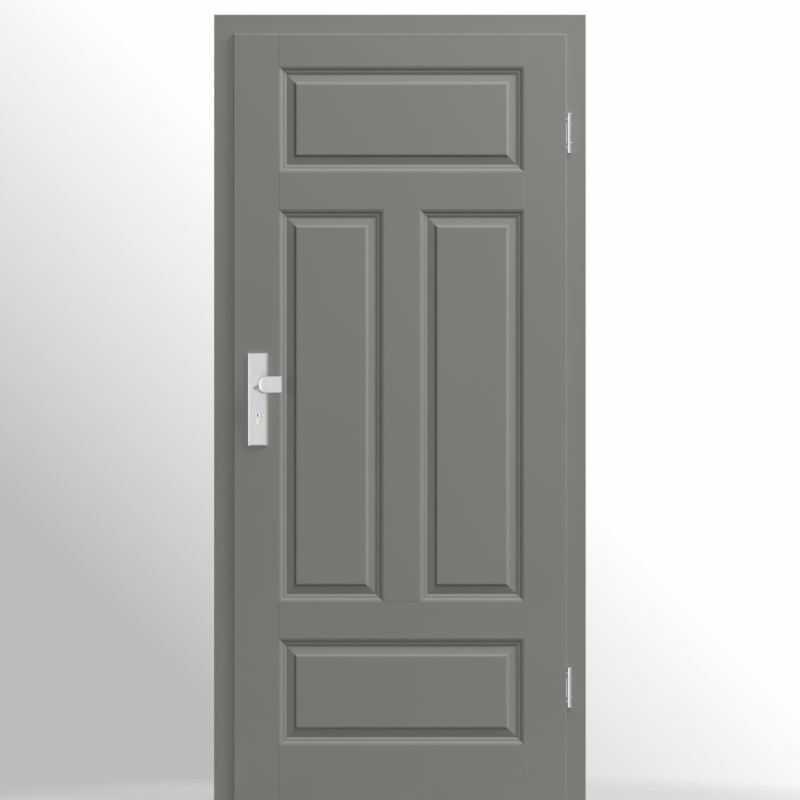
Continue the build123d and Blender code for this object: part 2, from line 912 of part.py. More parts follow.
# Mortise lock
with BuildPart() as lock_case:
    block((case_left, case_right), (case_front, case_back), (case_bottom, case_top))
    block(
        (case_left + case_wall, case_right - case_wall),
        (case_front - 1, case_back - case_wall),
        (case_bottom + case_wall, case_top - case_wall),
        Mode.SUBTRACT,
    )
    cylinder_hole(case_front - 1, case_back + 1)
    rod((lock_x, case_front, spindle_height), (0, 1, 0), journal_radius + running_gap, 30, Mode.SUBTRACT)
    for low, high in ((latch_bottom, latch_top), (bolt_bottom, bolt_top)):
        block(
            (case_left - 1, case_left + case_wall + 1),
            (bolt_front - bolt_side_play, bolt_back + bolt_side_play),
            (low - bolt_high_play, high + bolt_high_play),
            Mode.SUBTRACT,
        )
    start = (case_left - 1, lock_middle, cylinder_screw_z)
    rod(start, (1, 0, 0), cylinder_screw_radius + 2 * fit, case_wall + 2, Mode.SUBTRACT)
    for z in (case_bottom + case_post_inset, case_top - case_post_inset):
        post_start = (case_right - case_post_side, case_back - case_wall, z)
        rod(post_start, (0, -1, 0), case_post, case_thickness - 2 * case_wall)
save(lock_case, "lock_case")

with BuildPart() as lock_cover:
    block(
        (case_left + case_wall + fit, case_right - case_wall - fit),
        (case_front, case_front + case_wall),
        (case_bottom + case_wall + fit, case_top - case_wall - fit),
    )
    cylinder_hole(case_front - 1, case_back)
    start = (lock_x, case_front - 1, spindle_height)
    rod(start, (0, 1, 0), journal_radius + running_gap, 2 + case_wall, Mode.SUBTRACT)
save(lock_cover, "lock_cover")

with BuildPart() as lock_faceplate:
    block(
        (-rebate_half, case_left),
        (lock_middle - faceplate_width / 2, lock_middle + faceplate_width / 2),
        (faceplate_low, faceplate_high),
    )
    for low, high in ((latch_bottom, latch_top), (bolt_bottom, bolt_top)):
        block(
            (-rebate_half - 1, case_left + 1),
            (bolt_front - bolt_side_play, bolt_back + bolt_side_play),
            (low - bolt_high_play, high + bolt_high_play),
            Mode.SUBTRACT,
        )
    for z in (*faceplate_screws_z, cylinder_screw_z):
        start = (-rebate_half - 1, lock_middle, z)
        head_bore = faceplate_head_radius + 2 * fit
        rod(start, (1, 0, 0), cylinder_screw_radius + 2 * fit, 2 * faceplate_thickness, Mode.SUBTRACT)
        rod(start, (1, 0, 0), head_bore, 1 + faceplate_head_depth + 2 * fit, Mode.SUBTRACT)
save(lock_faceplate, "lock_faceplate")

with BuildPart() as faceplate_screws:
    for z in faceplate_screws_z:
        screw_start = (-rebate_half + fit, lock_middle, z)
        rod(screw_start, (1, 0, 0), faceplate_head_radius, faceplate_head_depth)
        rod(screw_start, (1, 0, 0), faceplate_screw_radius, faceplate_screw_length)
save(faceplate_screws, "faceplate_screws")

with BuildPart() as cylinder_screw:
    screw_start = (-rebate_half + fit, lock_middle, cylinder_screw_z)
    rod(screw_start, (1, 0, 0), faceplate_head_radius, faceplate_head_depth)
    rod(screw_start, (1, 0, 0), cylinder_screw_radius, backset + cylinder_screw_end)
save(cylinder_screw, "cylinder_screw")

with BuildPart() as lock_follower:
    rod((lock_x, bolt_front, spindle_height), (0, 1, 0), follower_radius, bolt_thickness)
    rod((lock_x, case_front, spindle_height), (0, 1, 0), journal_radius, case_thickness)
    block(
        (lock_x - arm_half, lock_x + arm_half),
        (bolt_front, bolt_back),
        (spindle_height, spindle_height + arm_reach),
    )
    spindle_hole = spindle_side / 2 + fit
    block(
        (lock_x - spindle_hole, lock_x + spindle_hole),
        (case_front - 1, case_back + 1),
        (spindle_height - spindle_hole, spindle_height + spindle_hole),
        Mode.SUBTRACT,
    )
save(lock_follower, "lock_follower")

latch_tip = -rebate_half - latch_throw
tail_bottom = spindle_height + arm_reach + latch_tail_rise
tail_top = tail_bottom + latch_tail_height
tail_depth = (bolt_front + latch_tail_inset, bolt_back - latch_tail_inset)
tab_left = lock_x + arm_half + latch_tab_gap
tab_right = tab_left + latch_tab
with BuildPart() as latch_bolt:
    with BuildSketch(Plane.XY.offset(latch_bottom)):
        with BuildLine():
            Polyline(
                (latch_tip, bolt_front),
                (case_left + latch_head, bolt_front),
                (case_left + latch_head, bolt_back),
                (-rebate_half - 1, bolt_back),
                (latch_tip, bolt_front + latch_chamfer),
                close=True,
            )
        make_face()
    extrude(amount=latch_height)
    block((case_left + latch_head - 2, tab_right), tail_depth, (tail_bottom, tail_top))
    block((tab_left, tab_right), tail_depth, (spindle_height + arm_reach - latch_tab_drop, tail_top))
save(latch_bolt, "latch_bolt")

with BuildPart() as dead_bolt:
    block((-rebate_half, case_left + bolt_head), (bolt_front, bolt_back), (bolt_bottom, bolt_top))
    block(
        (case_left + bolt_head - 4, case_right - bolt_end),
        (bolt_front + bolt_tail_inset, bolt_back - bolt_tail_inset),
        (bolt_bottom + bolt_tail_low, bolt_top - bolt_tail_high),
    )
save(dead_bolt, "dead_bolt")

# Compression spring behind the latch's tail
spring_length = case_right - case_wall - tab_right
with BuildPart() as latch_spring:
    with BuildLine():
        turns = Helix(
            pitch=spring_pitch,
            height=spring_length - 2 * spring_end,
            radius=spring_radius,
            center=(tab_right + spring_end, lock_middle, (tail_bottom + tail_top) / 2),
            direction=(1, 0, 0),
        )
    with BuildSketch(Plane(turns @ 0, z_dir=turns % 0)):
        Circle(spring_wire)
    sweep(is_frenet=True)
save(latch_spring, "latch_spring")

# Profile cylinder
cylinder_front = outer_face - cylinder_outer_proud
cylinder_back = inner_face + cylinder_inner_proud
with BuildPart() as cylinder_body:
    with BuildSketch(at_depth(cylinder_back)):
        profile()
    extrude(amount=cylinder_back - cylinder_front)
    rod(
        (lock_x, cylinder_front - 1, cylinder_height),
        (0, 1, 0),
        plug_radius + running_gap,
        cylinder_back - cylinder_front + 2,
        Mode.SUBTRACT,
    )
    block(
        (lock_x - 2 * cylinder_head, lock_x + 2 * cylinder_head),
        (lock_middle - cam_slot / 2, lock_middle + cam_slot / 2),
        (cylinder_height - bridge_top, cylinder_height + 2 * cylinder_head),
        Mode.SUBTRACT,
    )
    bore_start = (lock_x - cylinder_lobe, lock_middle, cylinder_screw_z)
    rod(bore_start, (1, 0, 0), cylinder_screw_radius + fit, 2 * cylinder_lobe, Mode.SUBTRACT)
save(cylinder_body, "cylinder_body")

with BuildPart() as plug_outer:
    plug_front = cylinder_front + plug_setback
    plug_length = lock_middle - cam_slot / 2 - plug_front
    rod((lock_x, plug_front, cylinder_height), (0, 1, 0), plug_radius, plug_length)
    block(
        (lock_x - key_half_width, lock_x + key_half_width),
        (cylinder_front - 1, cylinder_front + key_depth),
        (cylinder_height - key_half_height, cylinder_height + key_half_height),
        Mode.SUBTRACT,
    )
save(plug_outer, "plug_outer")

with BuildPart() as plug_inner:
    plug_back = cylinder_back - plug_setback
    plug_length = plug_back - lock_middle - cam_slot / 2
    rod((lock_x, plug_back, cylinder_height), (0, -1, 0), plug_radius, plug_length)
    block(
        (lock_x - key_half_width, lock_x + key_half_width),
        (cylinder_back + 1, cylinder_back - key_depth_inner),
        (cylinder_height - key_half_height, cylinder_height + key_half_height),
        Mode.SUBTRACT,
    )
save(plug_inner, "plug_inner")

with BuildPart() as cylinder_cam:
    rod(
        (lock_x, lock_middle - cam_thickness / 2, cylinder_height),
        (0, 1, 0),
        cylinder_head,
        cam_thickness,
    )
    nose_z = cylinder_height - cam_reach + cam_nose
    block(
        (lock_x - cam_nose, lock_x + cam_nose),
        (lock_middle - cam_thickness / 2, lock_middle + cam_thickness / 2),
        (nose_z, cylinder_height),
    )
    rod((lock_x, lock_middle - cam_thickness / 2, nose_z), (0, 1, 0), cam_nose, cam_thickness)
save(cylinder_cam, "cylinder_cam")


# Plates
with BuildPart() as outer_plate:
    block(
        (lock_x - plate_width / 2, lock_x + plate_width / 2),
        (outer_face, leaf_front),
        (plate_bottom, plate_top),
    )
    chamfer(outer_plate.faces().sort_by(Axis.Y)[0].edges(), plate_chamfer)
    for z in screw_heights:
        rod((lock_x, leaf_front, z), (0, 1, 0), boss_radius, boss_length)
        bore_start = (lock_x, leaf_front + boss_length + 1, z)
        bore_length = boss_length + 1 + boss_bore_end
        rod(bore_start, (0, -1, 0), screw_radius + fit, bore_length, Mode.SUBTRACT)
    cylinder_hole(outer_face - 1, leaf_front + 1)
save(outer_plate, "outer_plate")

with BuildPart() as inner_plate:
    block(
        (lock_x - plate_width / 2, lock_x + plate_width / 2),
        (leaf_back, inner_face),
        (plate_bottom, plate_top),
    )
    chamfer(inner_plate.faces().sort_by(Axis.Y)[-1].edges(), plate_chamfer)
    cylinder_hole(leaf_back - 1, inner_face + 1)
    rod((lock_x, leaf_back - 1, spindle_height), (0, 1, 0), lever_collar + running_gap, 20, Mode.SUBTRACT)
    for z in screw_heights:
        rod((lock_x, leaf_back - 1, z), (0, 1, 0), screw_radius + fit, 20, Mode.SUBTRACT)
        sink_start = (lock_x, inner_face - screw_head_height - 2 * screw_head_setback, z)
        rod(sink_start, (0, 1, 0), screw_head_radius + 2 * fit, 2 * screw_head_height, Mode.SUBTRACT)
save(inner_plate, "inner_plate")

with BuildPart() as plate_screws:
    for z in screw_heights:
        screw_start = (lock_x, inner_face - screw_head_setback, z)
        rod(screw_start, (0, -1, 0), screw_head_radius, screw_head_height)
        rod(screw_start, (0, -1, 0), screw_radius, inner_face - leaf_front + boss_bore_end / 2)
save(plate_screws, "plate_screws")

# Fixed outer knob: a neck that leans to the pad, and a flat pad with one rounded end
knob_left = lock_x + knob_shift
knob_right = knob_left + knob_length
knob_z = spindle_height + knob_lift
round_length = knob_length * knob_round_share
pad_back = outer_face - knob_projection + knob_thickness
with BuildPart() as outer_knob:
    with BuildSketch(at_depth(pad_back)):
        with BuildLine():
            Polyline(
                (knob_left + round_length, knob_z - knob_height / 2),
                (knob_right, knob_z - knob_height / 2),
                (knob_right, knob_z + knob_height / 2),
                (knob_left + round_length, knob_z + knob_height / 2),
            )
            EllipticalCenterArc(
                (knob_left + round_length, knob_z),
                round_length,
                knob_height / 2,
                start_angle=90,
                arc_size=180,
            )
        make_face()
    extrude(amount=knob_thickness)
    fillet(outer_knob.faces().sort_by(Axis.Y)[0].edges(), knob_round)
    with BuildSketch(at_depth(outer_face)):
        with Locations((lock_x + neck_shift, spindle_height)):
            Circle(neck_radius)
    with BuildSketch(at_depth(pad_back - 1)):
        with Locations((knob_left + round_length, knob_z)):
            Ellipse(round_length * neck_width_share, knob_height * neck_height_share)
    loft()
save(outer_knob, "outer_knob")

# Inner lever and its spindle
lever_start = Vector(lock_x, inner_face, spindle_height)
with BuildPart() as inner_lever:
    with BuildLine():
        FilletPolyline(
            lever_start,
            lever_start + Vector(0, lever_projection, 0),
            lever_start + Vector(lever_length, lever_projection, 0),
            radius=lever_bend,
        )
    with BuildSketch(Plane(lever_start, z_dir=(0, 1, 0))):
        Circle(lever_radius)
    sweep()
    fillet(inner_lever.faces().sort_by(Axis.X)[-1].edges(), lever_round)
    collar_start = (lock_x, leaf_back + lever_collar_gap, spindle_height)
    collar_length = inner_plate_thickness + lever_collar_proud - lever_collar_gap
    rod(collar_start, (0, 1, 0), lever_collar, collar_length)
    spindle_hole = spindle_side / 2 + fit
    block(
        (lock_x - spindle_hole, lock_x + spindle_hole),
        (leaf_back - 1, inner_face + spindle_bore),
        (spindle_height - spindle_hole, spindle_height + spindle_hole),
        Mode.SUBTRACT,
    )
save(inner_lever, "inner_lever")

with BuildPart() as spindle:
    block(
        (lock_x - spindle_side / 2, lock_x + spindle_side / 2),
        (case_front + lever_collar_gap, inner_face + spindle_bore - spindle_end_play),
        (spindle_height - spindle_side / 2, spindle_height + spindle_side / 2),
    )
save(spindle, "spindle")
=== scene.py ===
"""Looks of a rebated entry door with its frame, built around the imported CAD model."""

import json
import math

import bmesh
import bpy
from bpy.props import FloatProperty, FloatVectorProperty, PointerProperty
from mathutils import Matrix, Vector


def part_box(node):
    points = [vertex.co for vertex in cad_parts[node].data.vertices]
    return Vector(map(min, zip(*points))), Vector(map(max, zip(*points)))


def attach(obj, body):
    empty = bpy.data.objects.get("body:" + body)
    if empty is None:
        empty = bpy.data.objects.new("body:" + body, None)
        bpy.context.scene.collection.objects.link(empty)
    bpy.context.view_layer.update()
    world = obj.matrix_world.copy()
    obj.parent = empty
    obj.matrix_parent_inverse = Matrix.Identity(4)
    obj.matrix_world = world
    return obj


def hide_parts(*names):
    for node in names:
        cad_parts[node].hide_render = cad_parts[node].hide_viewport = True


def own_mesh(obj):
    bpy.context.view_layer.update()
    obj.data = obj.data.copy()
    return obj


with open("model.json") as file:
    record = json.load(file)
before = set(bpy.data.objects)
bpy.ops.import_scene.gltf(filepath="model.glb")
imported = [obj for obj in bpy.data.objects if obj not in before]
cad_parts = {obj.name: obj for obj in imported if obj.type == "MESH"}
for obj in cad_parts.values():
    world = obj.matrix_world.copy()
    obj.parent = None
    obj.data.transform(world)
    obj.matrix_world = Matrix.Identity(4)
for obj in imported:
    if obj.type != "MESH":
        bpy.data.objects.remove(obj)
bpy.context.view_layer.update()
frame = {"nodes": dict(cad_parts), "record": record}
NODES = frame["nodes"]
BODY_OF = {
    node: body
    for body, members in frame["record"]["behaviour"]["bodies"].items()
    for node in members
}

SAME_POINT = 0.000002  # Points of a mesh that lie closer than this, in metres, are one
SEAM = 0.00001  # The same for the meshes that the trees make
FLAT_WITHIN = 0.6  # Neighbouring triangles within this angle, in degrees, are one flat face
SENSOR_WIDTH = 36  # Millimetres

bl_info = {
    "name": "Entry door with frame",
    "version": (1, 0, 0),
    "blender": (4, 5, 0),
    "location": "View3D > Sidebar > Entry door",
    "description": "Builds the pieces and finishes of a rebated entry door around its CAD frame",
    "category": "Object",
}


def linear(code):
    """Turn an sRGB hex colour into linear red, green and blue."""
    parts = [int(code[n:n + 2], 16) / 255 for n in (1, 3, 5)]
    return [p / 12.92 if p <= 0.04045 else ((p + 0.055) / 1.055) ** 2.4 for p in parts]


def fill(tree, node, inputs):
    """Fill a node's inputs by name or number.

    An input takes a plain value, a socket, a node, which is linked by its first output, or a list
    of nodes.
    """
    for key, value in inputs.items():
        for source in value if isinstance(value, list) else [value]:
            if isinstance(source, bpy.types.Node):
                source = source.outputs[0]
            if isinstance(source, bpy.types.NodeSocket):
                tree.links.new(source, node.inputs[key])
            else:
                node.inputs[key].default_value = source


def add_node(tree, kind, inputs=None, **settings):
    """Add a node, apply its settings and fill its inputs."""
    made = tree.nodes.new(kind)
    for name, value in settings.items():
        setattr(made, name, value)
    fill(tree, made, inputs or {})
    return made


# Sizes and colours that a user can change
def number(name, text, value, **kind):
    """A number with its unit or subtype."""
    return FloatProperty(name=name, description=text, default=value, **kind)


def length(name, text, value):
    """A length in metres."""
    return number(name, text, value, min=0, unit="LENGTH")


def point(name, text, value):
    """A place in metres."""
    return FloatVectorProperty(
        name=name, description=text, default=value, subtype="TRANSLATION", unit="LENGTH", size=3
    )


def colour(name, text, code):
    """A colour, given as an sRGB hex value."""
    return FloatVectorProperty(
        name=name, description=text, default=linear(code), subtype="COLOR", size=3, min=0, max=1
    )


class DoorFinishes(bpy.types.PropertyGroup):
    lacquer: colour("Lacquer", "Grey-green satin lacquer of the leaf and the frame", "#7b7d76")
    furniture: colour("Furniture", "Satin metal of the plates, the knob and the lever", "#c9c9ca")
    hinge: colour("Hinge metal", "Bright nickel of the hinges", "#c6cace")
    cylinder: colour("Cylinder metal", "Nickel-plated brass of the cylinder", "#d5d2ce")
    zinc: colour("Zinc", "Zinc-plated steel of the lock, strike plate and screws", "#b9bdc2")
    wire: colour("Spring steel", "Drawn wire of the latch's spring", "#a8abb0")
    rubber: colour("Seal", "Soft seal in the rebate", "#4b4d49")
    bush: colour("Bushes", "Moulded bushes of the hinges", "#dcd9d0")
    beech: colour("Beech", "Dowels between stiles and rails", "#c9a27a")
    peel: length("Orange peel", "Spacing of the lacquer's faint ripple", 0.0016)
    brush: length("Brush lines", "Spacing of the brush lines on the plates", 0.0004)


class DoorEdges(bpy.types.PropertyGroup):
    wood: length("Board edges", "Rounding of the lacquered boards' edges", 0.0006)
    board: length("Casing edges", "Rounding of the casings' edges", 0.0005)
    plate: length("Plate edges", "Rounding of the plates' edges", 0.0004)
    bevel: length("Plate bevel", "Width of the bevel along the plates' long sides", 0.0055)
    keyway: length("Keyway", "Half of the key slot's width", 0.0012)
    steel: length("Steel edges", "Rounding of the lock's and strike plate's edges", 0.0003)


class PanelSizes(bpy.types.PropertyGroup):
    tongue_edge: length("Tongue edge", "From the opening's edge to the panel's outer edge", 0.010)
    tongue_face: length("Tongue face", "Half of the tongue's thickness", 0.0077)
    bevel_start: length("Bevel start", "From the opening's edge to the start of the bevel", 0.0203)
    bevel_foot: length("Bevel foot", "Height of the bevel's foot over the panel's middle", 0.0078)
    bevel_end: length("Bevel end", "From the opening's edge to the end of the bevel", 0.040)
    bevel_head: length("Bevel head", "Height of the bevel's end over the panel's middle", 0.0124)
    riser_head: length("Riser", "Height of the step's top over the panel's middle", 0.0136)
    riser_end: length("Riser end", "From the opening's edge to the top of the step", 0.0406)
    field_edge: length("Field edge", "From the opening's edge to the flat field", 0.0485)
    field_face: length("Field face", "Height of the field over the panel's middle", 0.018)
    rounding: length("Rounding", "Rounding of the panel's edges", 0.0004)


class KnobSizes(bpy.types.PropertyGroup):
    pad_round: number(
        "Rounded share", "Share of the pad that its round end takes", 0.36, subtype="FACTOR"
    )
    edge: length("Pad edge", "Rounding of the pad's edges", 0.0018)
    corner: length("Pad corner", "Rounding of the pad's two corners", 0.0015)
    thickness: length("Pad thickness", "Thickness of the pad", 0.012)
    tip: length("Tip radius", "Radius of the foot's tip", 0.0038)
    tip_reach: length("Tip reach", "From the plate's middle to the tip's middle", 0.0092)
    tip_drop: length("Tip drop", "From the spindle's height down to the tip's middle", 0.0026)
    body: length("Body radius", "Radius of the foot's round body", 0.0145)
    body_shift: length("Body shift", "From the plate's middle to the body's middle", 0.0094)
    dome: length("Dome", "Depth by which the pad's face slopes back at its round end", 0.003)
    dome_reach: length("Dome reach", "Width over which the pad's face rises", 0.0135)
    under: length("Underside", "From the pad's edge to where the neck meets it", 0.0045)
    waist: number("Waist", "Share by which the neck narrows", 0.06, subtype="FACTOR")


class ScrewSizes(bpy.types.PropertyGroup):
    plate_head: length("Plate screw head", "Depth of the plate screws' heads", 0.0028)
    plate_shank: length("Plate screw", "Radius of the plate screws", 0.003)
    face_head: length("Faceplate screw head", "Depth of the faceplate screws' heads", 0.0016)
    face_shank: length("Faceplate screw", "Radius of the faceplate screws", 0.0019)
    cylinder_shank: length("Cylinder screw", "Radius of the cylinder's screw", 0.0024)
    strike_head: length("Strike screw head", "Depth of the strike plate screws' heads", 0.0023)
    strike_shank: length("Strike screw", "Radius of the strike plate's screws", 0.00225)
    receiver_head: length("Receiver screw head", "Depth of the receiver screws' heads", 0.003)
    receiver_shank: length("Receiver screw", "Radius of the receiver screws", 0.003)
    recess: number("Recess", "Share of the head's radius to the star's tips", 0.5, subtype="FACTOR")
    waist: number("Star", "Share of the head's radius to the star's waist", 0.36, subtype="FACTOR")
    sink: number("Recess depth", "Share of the head's depth", 0.6, subtype="FACTOR")


class SpringSizes(bpy.types.PropertyGroup):
    wire: length("Wire", "Radius of the spring's wire", 0.0004)
    pitch: length("Pitch", "From coil to coil", 0.0026)
    pressed: number("Pressed", "Share of its length when pressed", 0.22, subtype="FACTOR")


class StageSizes(bpy.types.PropertyGroup):
    lens: number("Lens", "Focal length", 300, unit="CAMERA")
    height: length("View height", "Height of the view at the leaf", 2.0666)
    aim: length("Aim", "Height that the camera looks at", 1.0464)
    white: colour("Background", "Pale background at the upper right", "#fefefe")
    grey: colour("Background shade", "Pale grey of the background at the lower left", "#bcbcbc")
    shade_start: number("Shade start", "Slope to the lower left where the white ends", -0.0138)
    shade_end: number("Shade end", "Slope to the lower left where the grey is full", 0.074)
    floor: colour("Floor", "Pale floor", "#9f9f9e")
    floor_reach: length("Floor reach", "Half of the floor's side", 4.0)
    fade_start: length("Fade start", "Distance where the floor starts to fade", 0.6)
    fade_end: length("Fade end", "Distance where the floor has faded", 1.5)
    lamp_place: point("Lamp place", "Where the key and fill lights stand", (4.9, -2.7, 6.4))
    lamp_aim: point("Lamp aim", "The point that they face", (0.0, 0.0, 1.1))
    lamp_size: length("Lamp size", "Side of the key and fill lights", 4.0)
    key: number("Key light", "Power of the key light", 430, unit="POWER")
    fill: number("Fill light", "Power of the shadowless part", 730, unit="POWER")
    back_place: point("Back light place", "Where the back light stands", (-2.6, 4.6, 3.4))
    back_aim: point("Back light aim", "The point that it faces", (0.0, 0.0, 1.0))
    back_size: length("Back light size", "Side of the back light", 2.4)
    back: number("Back light", "Power of the light behind the door", 260, unit="POWER")
    room: number("Room", "Grey of the room that metal shows", 0.55)
    world: number("World light", "Strength of the even light", 0.11)


class DoorSettings(bpy.types.PropertyGroup):
    finishes: PointerProperty(type=DoorFinishes)
    edges: PointerProperty(type=DoorEdges)
    panel: PointerProperty(type=PanelSizes)
    knob: PointerProperty(type=KnobSizes)
    screws: PointerProperty(type=ScrewSizes)
    spring: PointerProperty(type=SpringSizes)
    stage: PointerProperty(type=StageSizes)


# Materials
def new_material(name):
    """An empty material; returns it with its tree, its shader and its Object coordinates."""
    material = bpy.data.materials.new(name)
    material.use_nodes = True
    tree = material.node_tree
    place = add_node(tree, "ShaderNodeTexCoord").outputs["Object"]
    return material, tree, tree.nodes["Principled BSDF"], place


def vary(tree, place, size, low, high, detail=2.0):
    """A soft noise of one feature size in metres, spread to run from low to high."""
    noise = add_node(
        tree, "ShaderNodeTexNoise", {"Vector": place, "Scale": 1 / size, "Detail": detail}
    )
    return add_node(tree, "ShaderNodeMapRange", {0: noise, 1: 0.3, 2: 0.7, 3: low, 4: high})


def mottled(tree, place, base, size, low, high, detail=2.0):
    """The base colour, made darker and lighter by a soft noise."""
    amount = vary(tree, place, size, low, high, detail)
    return add_node(tree, "ShaderNodeVectorMath", {0: tuple(base), 3: amount}, operation="SCALE")


def surface(name, base, tone, rough, relief, stretch=(1, 1, 1), fibrous=False, **inputs):
    """A material whose colour, roughness and relief vary softly.

    tone and rough hold the size of their patches in metres and the lowest and highest value.
    relief holds the spacing and the depth of its lines or dents in metres. stretch draws out the
    roughness and the relief, and in a fibrous material the colour too.
    """
    material, tree, shader, place = new_material(name)
    drawn = add_node(tree, "ShaderNodeMapping", {"Vector": place, "Scale": stretch})
    if fibrous:
        paint = mottled(tree, drawn, base, *tone, detail=4.0)
    else:
        paint = mottled(tree, place, base, *tone)
    spacing, depth = relief
    noise = add_node(
        tree, "ShaderNodeTexNoise", {"Vector": drawn, "Scale": 1 / spacing, "Detail": 1.0}
    )
    bump = add_node(tree, "ShaderNodeBump", {"Height": noise, "Distance": depth, "Strength": 1.0})
    inputs.update({"Base Color": paint, "Roughness": vary(tree, drawn, *rough), "Normal": bump})
    fill(tree, shader, inputs)
    return material


METAL_SPREAD = 0.04  # How far a metal's roughness strays to either side


def metal(name, base, spacing, rough, depth, stretch):
    """A metal with fine lines, drawn as coarse as they need to show, that spread its highlights."""
    patches = (4 * spacing, rough - METAL_SPREAD, rough + METAL_SPREAD)
    return surface(name, base, (0.02, 0.97, 1.03), patches, (spacing, depth), stretch, Metallic=1.0)


MATERIALS = {}  # By record slot


def finish(slot):
    """The material that a record slot is finished in, made once."""
    if slot in MATERIALS:
        return MATERIALS[slot]
    look = bpy.context.scene.entry_door.finishes
    makers = {
        # Sprayed satin lacquer with an orange peel as coarse as it needs to show
        "lacquered_wood": lambda: surface(
            "satin_lacquer_on_board",
            look.lacquer,
            tone=(0.35, 0.985, 1.015),
            rough=(0.09, 0.37, 0.43),
            relief=(look.peel, 0.000012),
            IOR=1.48,
        ),
        # Dark and matt
        "seal_rubber": lambda: surface(
            "extruded_seal_rubber",
            look.rubber,
            tone=(0.02, 0.93, 1.07),
            rough=(0.004, 0.62, 0.78),
            relief=(0.0007, 0.00002),
        ),
        # Off-white, smooth and slightly waxy
        "bush_polymer": lambda: surface(
            "moulded_acetal",
            look.bush,
            tone=(0.006, 0.97, 1.02),
            rough=(0.003, 0.32, 0.4),
            relief=(0.0005, 0.000005),
        ),
        # Pale pink-brown with short flecks along the dowel
        "beech": lambda: surface(
            "turned_beech",
            look.beech,
            tone=(0.0008, 0.82, 1.1),
            rough=(0.0008, 0.5, 0.65),
            relief=(0.0006, 0.00004),
            stretch=(0.08, 1, 1),
            fibrous=True,
        ),
        # Upright brush lines, so the plates keep a soft upright highlight
        "satin_metal": lambda: metal(
            "brushed_satin_nickel", look.furniture, look.brush, 0.33, 0.0000012, (1, 1, 0.03)
        ),
        # Turned rings round the knuckles give the hinges their crisp upright streak
        "hinge_steel": lambda: metal(
            "turned_bright_nickel", look.hinge, look.brush, 0.12, 0.0000008, (0.05, 0.05, 1)
        ),
        # Polished faces with a faint turned texture
        "nickel_brass": lambda: metal(
            "nickel_plated_brass", look.cylinder, 0.0006, 0.13, 0.0000008, (1, 0.1, 1)
        ),
        # Zinc plate shows a fine matt spangle
        "zinc_steel": lambda: metal(
            "zinc_plated_steel", look.zinc, 0.0009, 0.36, 0.000002, (1, 1, 1)
        ),
        # Drawn wire with lines along it
        "spring_steel": lambda: metal(
            "drawn_spring_wire", look.wire, 0.0003, 0.28, 0.000001, (0.2, 1, 1)
        ),
    }
    MATERIALS[slot] = makers[slot]()
    return MATERIALS[slot]


SLOT_OF = {
    "lacquered_wood": (
        "lining", "front_casing", "rear_casing", "stile", "rail", "mullion", "panel"
    ),
    "seal_rubber": ("seal",),
    "beech": ("leaf_dowels",),
    "bush_polymer": ("hinge_bushes",),
    "satin_metal": ("outer_plate", "outer_knob", "inner_plate", "inner_lever"),
    "hinge_steel": ("hinge_leaf_part", "hinge_frame_part", "hinge_pin", "hinge_caps"),
    "nickel_brass": ("cylinder_body", "plug", "cylinder_cam"),
    "spring_steel": ("latch_spring",),
}


def slot_of(node):
    """The record slot that a node takes its finish from."""
    for slot, starts in SLOT_OF.items():
        if node.startswith(starts):
            return slot
    return "zinc_steel"


def dress(*names):
    """Give CAD nodes that keep their shape their finish."""
    for name in names:
        for place in NODES[name].material_slots:
            place.material = finish(slot_of(name))


def settle(piece, name):
    """Finish a new piece: its material, its body, and the node that it stands for."""
    slot = slot_of(name)
    if not piece.data.materials:
        piece.data.materials.append(finish(slot))
    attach(piece, BODY_OF[name])
    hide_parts(name)
    return piece


def as_object(name, mesh):
    """A new object at the origin that shows a mesh."""
    piece = bpy.data.objects.new(name, mesh)
    bpy.context.scene.collection.objects.link(piece)
    return piece


def bake_modifiers(piece):
    """Turn a piece's modifiers into its own plain mesh."""
    graph = bpy.context.evaluated_depsgraph_get()
    mesh = bpy.data.meshes.new_from_object(piece.evaluated_get(graph), depsgraph=graph)
    old = piece.data
    piece.modifiers.clear()
    piece.data = mesh
    mesh.name = piece.name
    if old.users == 0:
        bpy.data.meshes.remove(old)
    return piece


def even_normals(piece, angle=40):
    """Shade smooth, keep edges sharper than an angle, and let large faces set the normals."""
    piece.data.polygons.foreach_set("use_smooth", [True] * len(piece.data.polygons))
    piece.data.set_sharp_from_angle(angle=math.radians(angle))
    weigh = piece.modifiers.new("weigh", "WEIGHTED_NORMAL")
    weigh.keep_sharp = True
    return bake_modifiers(piece)


def softened(name, rounding, angle=30, reshape=None):
    """A copy of a CAD node with whole faces and rounded edges, which stands for the node."""
    work = bmesh.new()
    work.from_mesh(NODES[name].data)
    bmesh.ops.remove_doubles(work, verts=work.verts, dist=SAME_POINT)
    for vertex in work.verts if reshape else ():
        vertex.co = reshape(vertex.co)
    bmesh.ops.dissolve_limit(
        work,
        angle_limit=math.radians(FLAT_WITHIN),
        verts=work.verts,
        edges=work.edges,
        delimit=set(),
    )
    mesh = bpy.data.meshes.new(f"{name}_soft")
    work.to_mesh(mesh)
    work.free()
    piece = as_object(f"{name}_soft", mesh)
    bevel = piece.modifiers.new("soft", "BEVEL")
    bevel.width = rounding
    bevel.segments = 2
    bevel.limit_method = "ANGLE"
    bevel.angle_limit = math.radians(angle)
    bevel.use_clamp_overlap = True
    bevel.miter_outer = "MITER_ARC"
    bake_modifiers(piece)
    even_normals(piece, 50)
    return settle(piece, name)


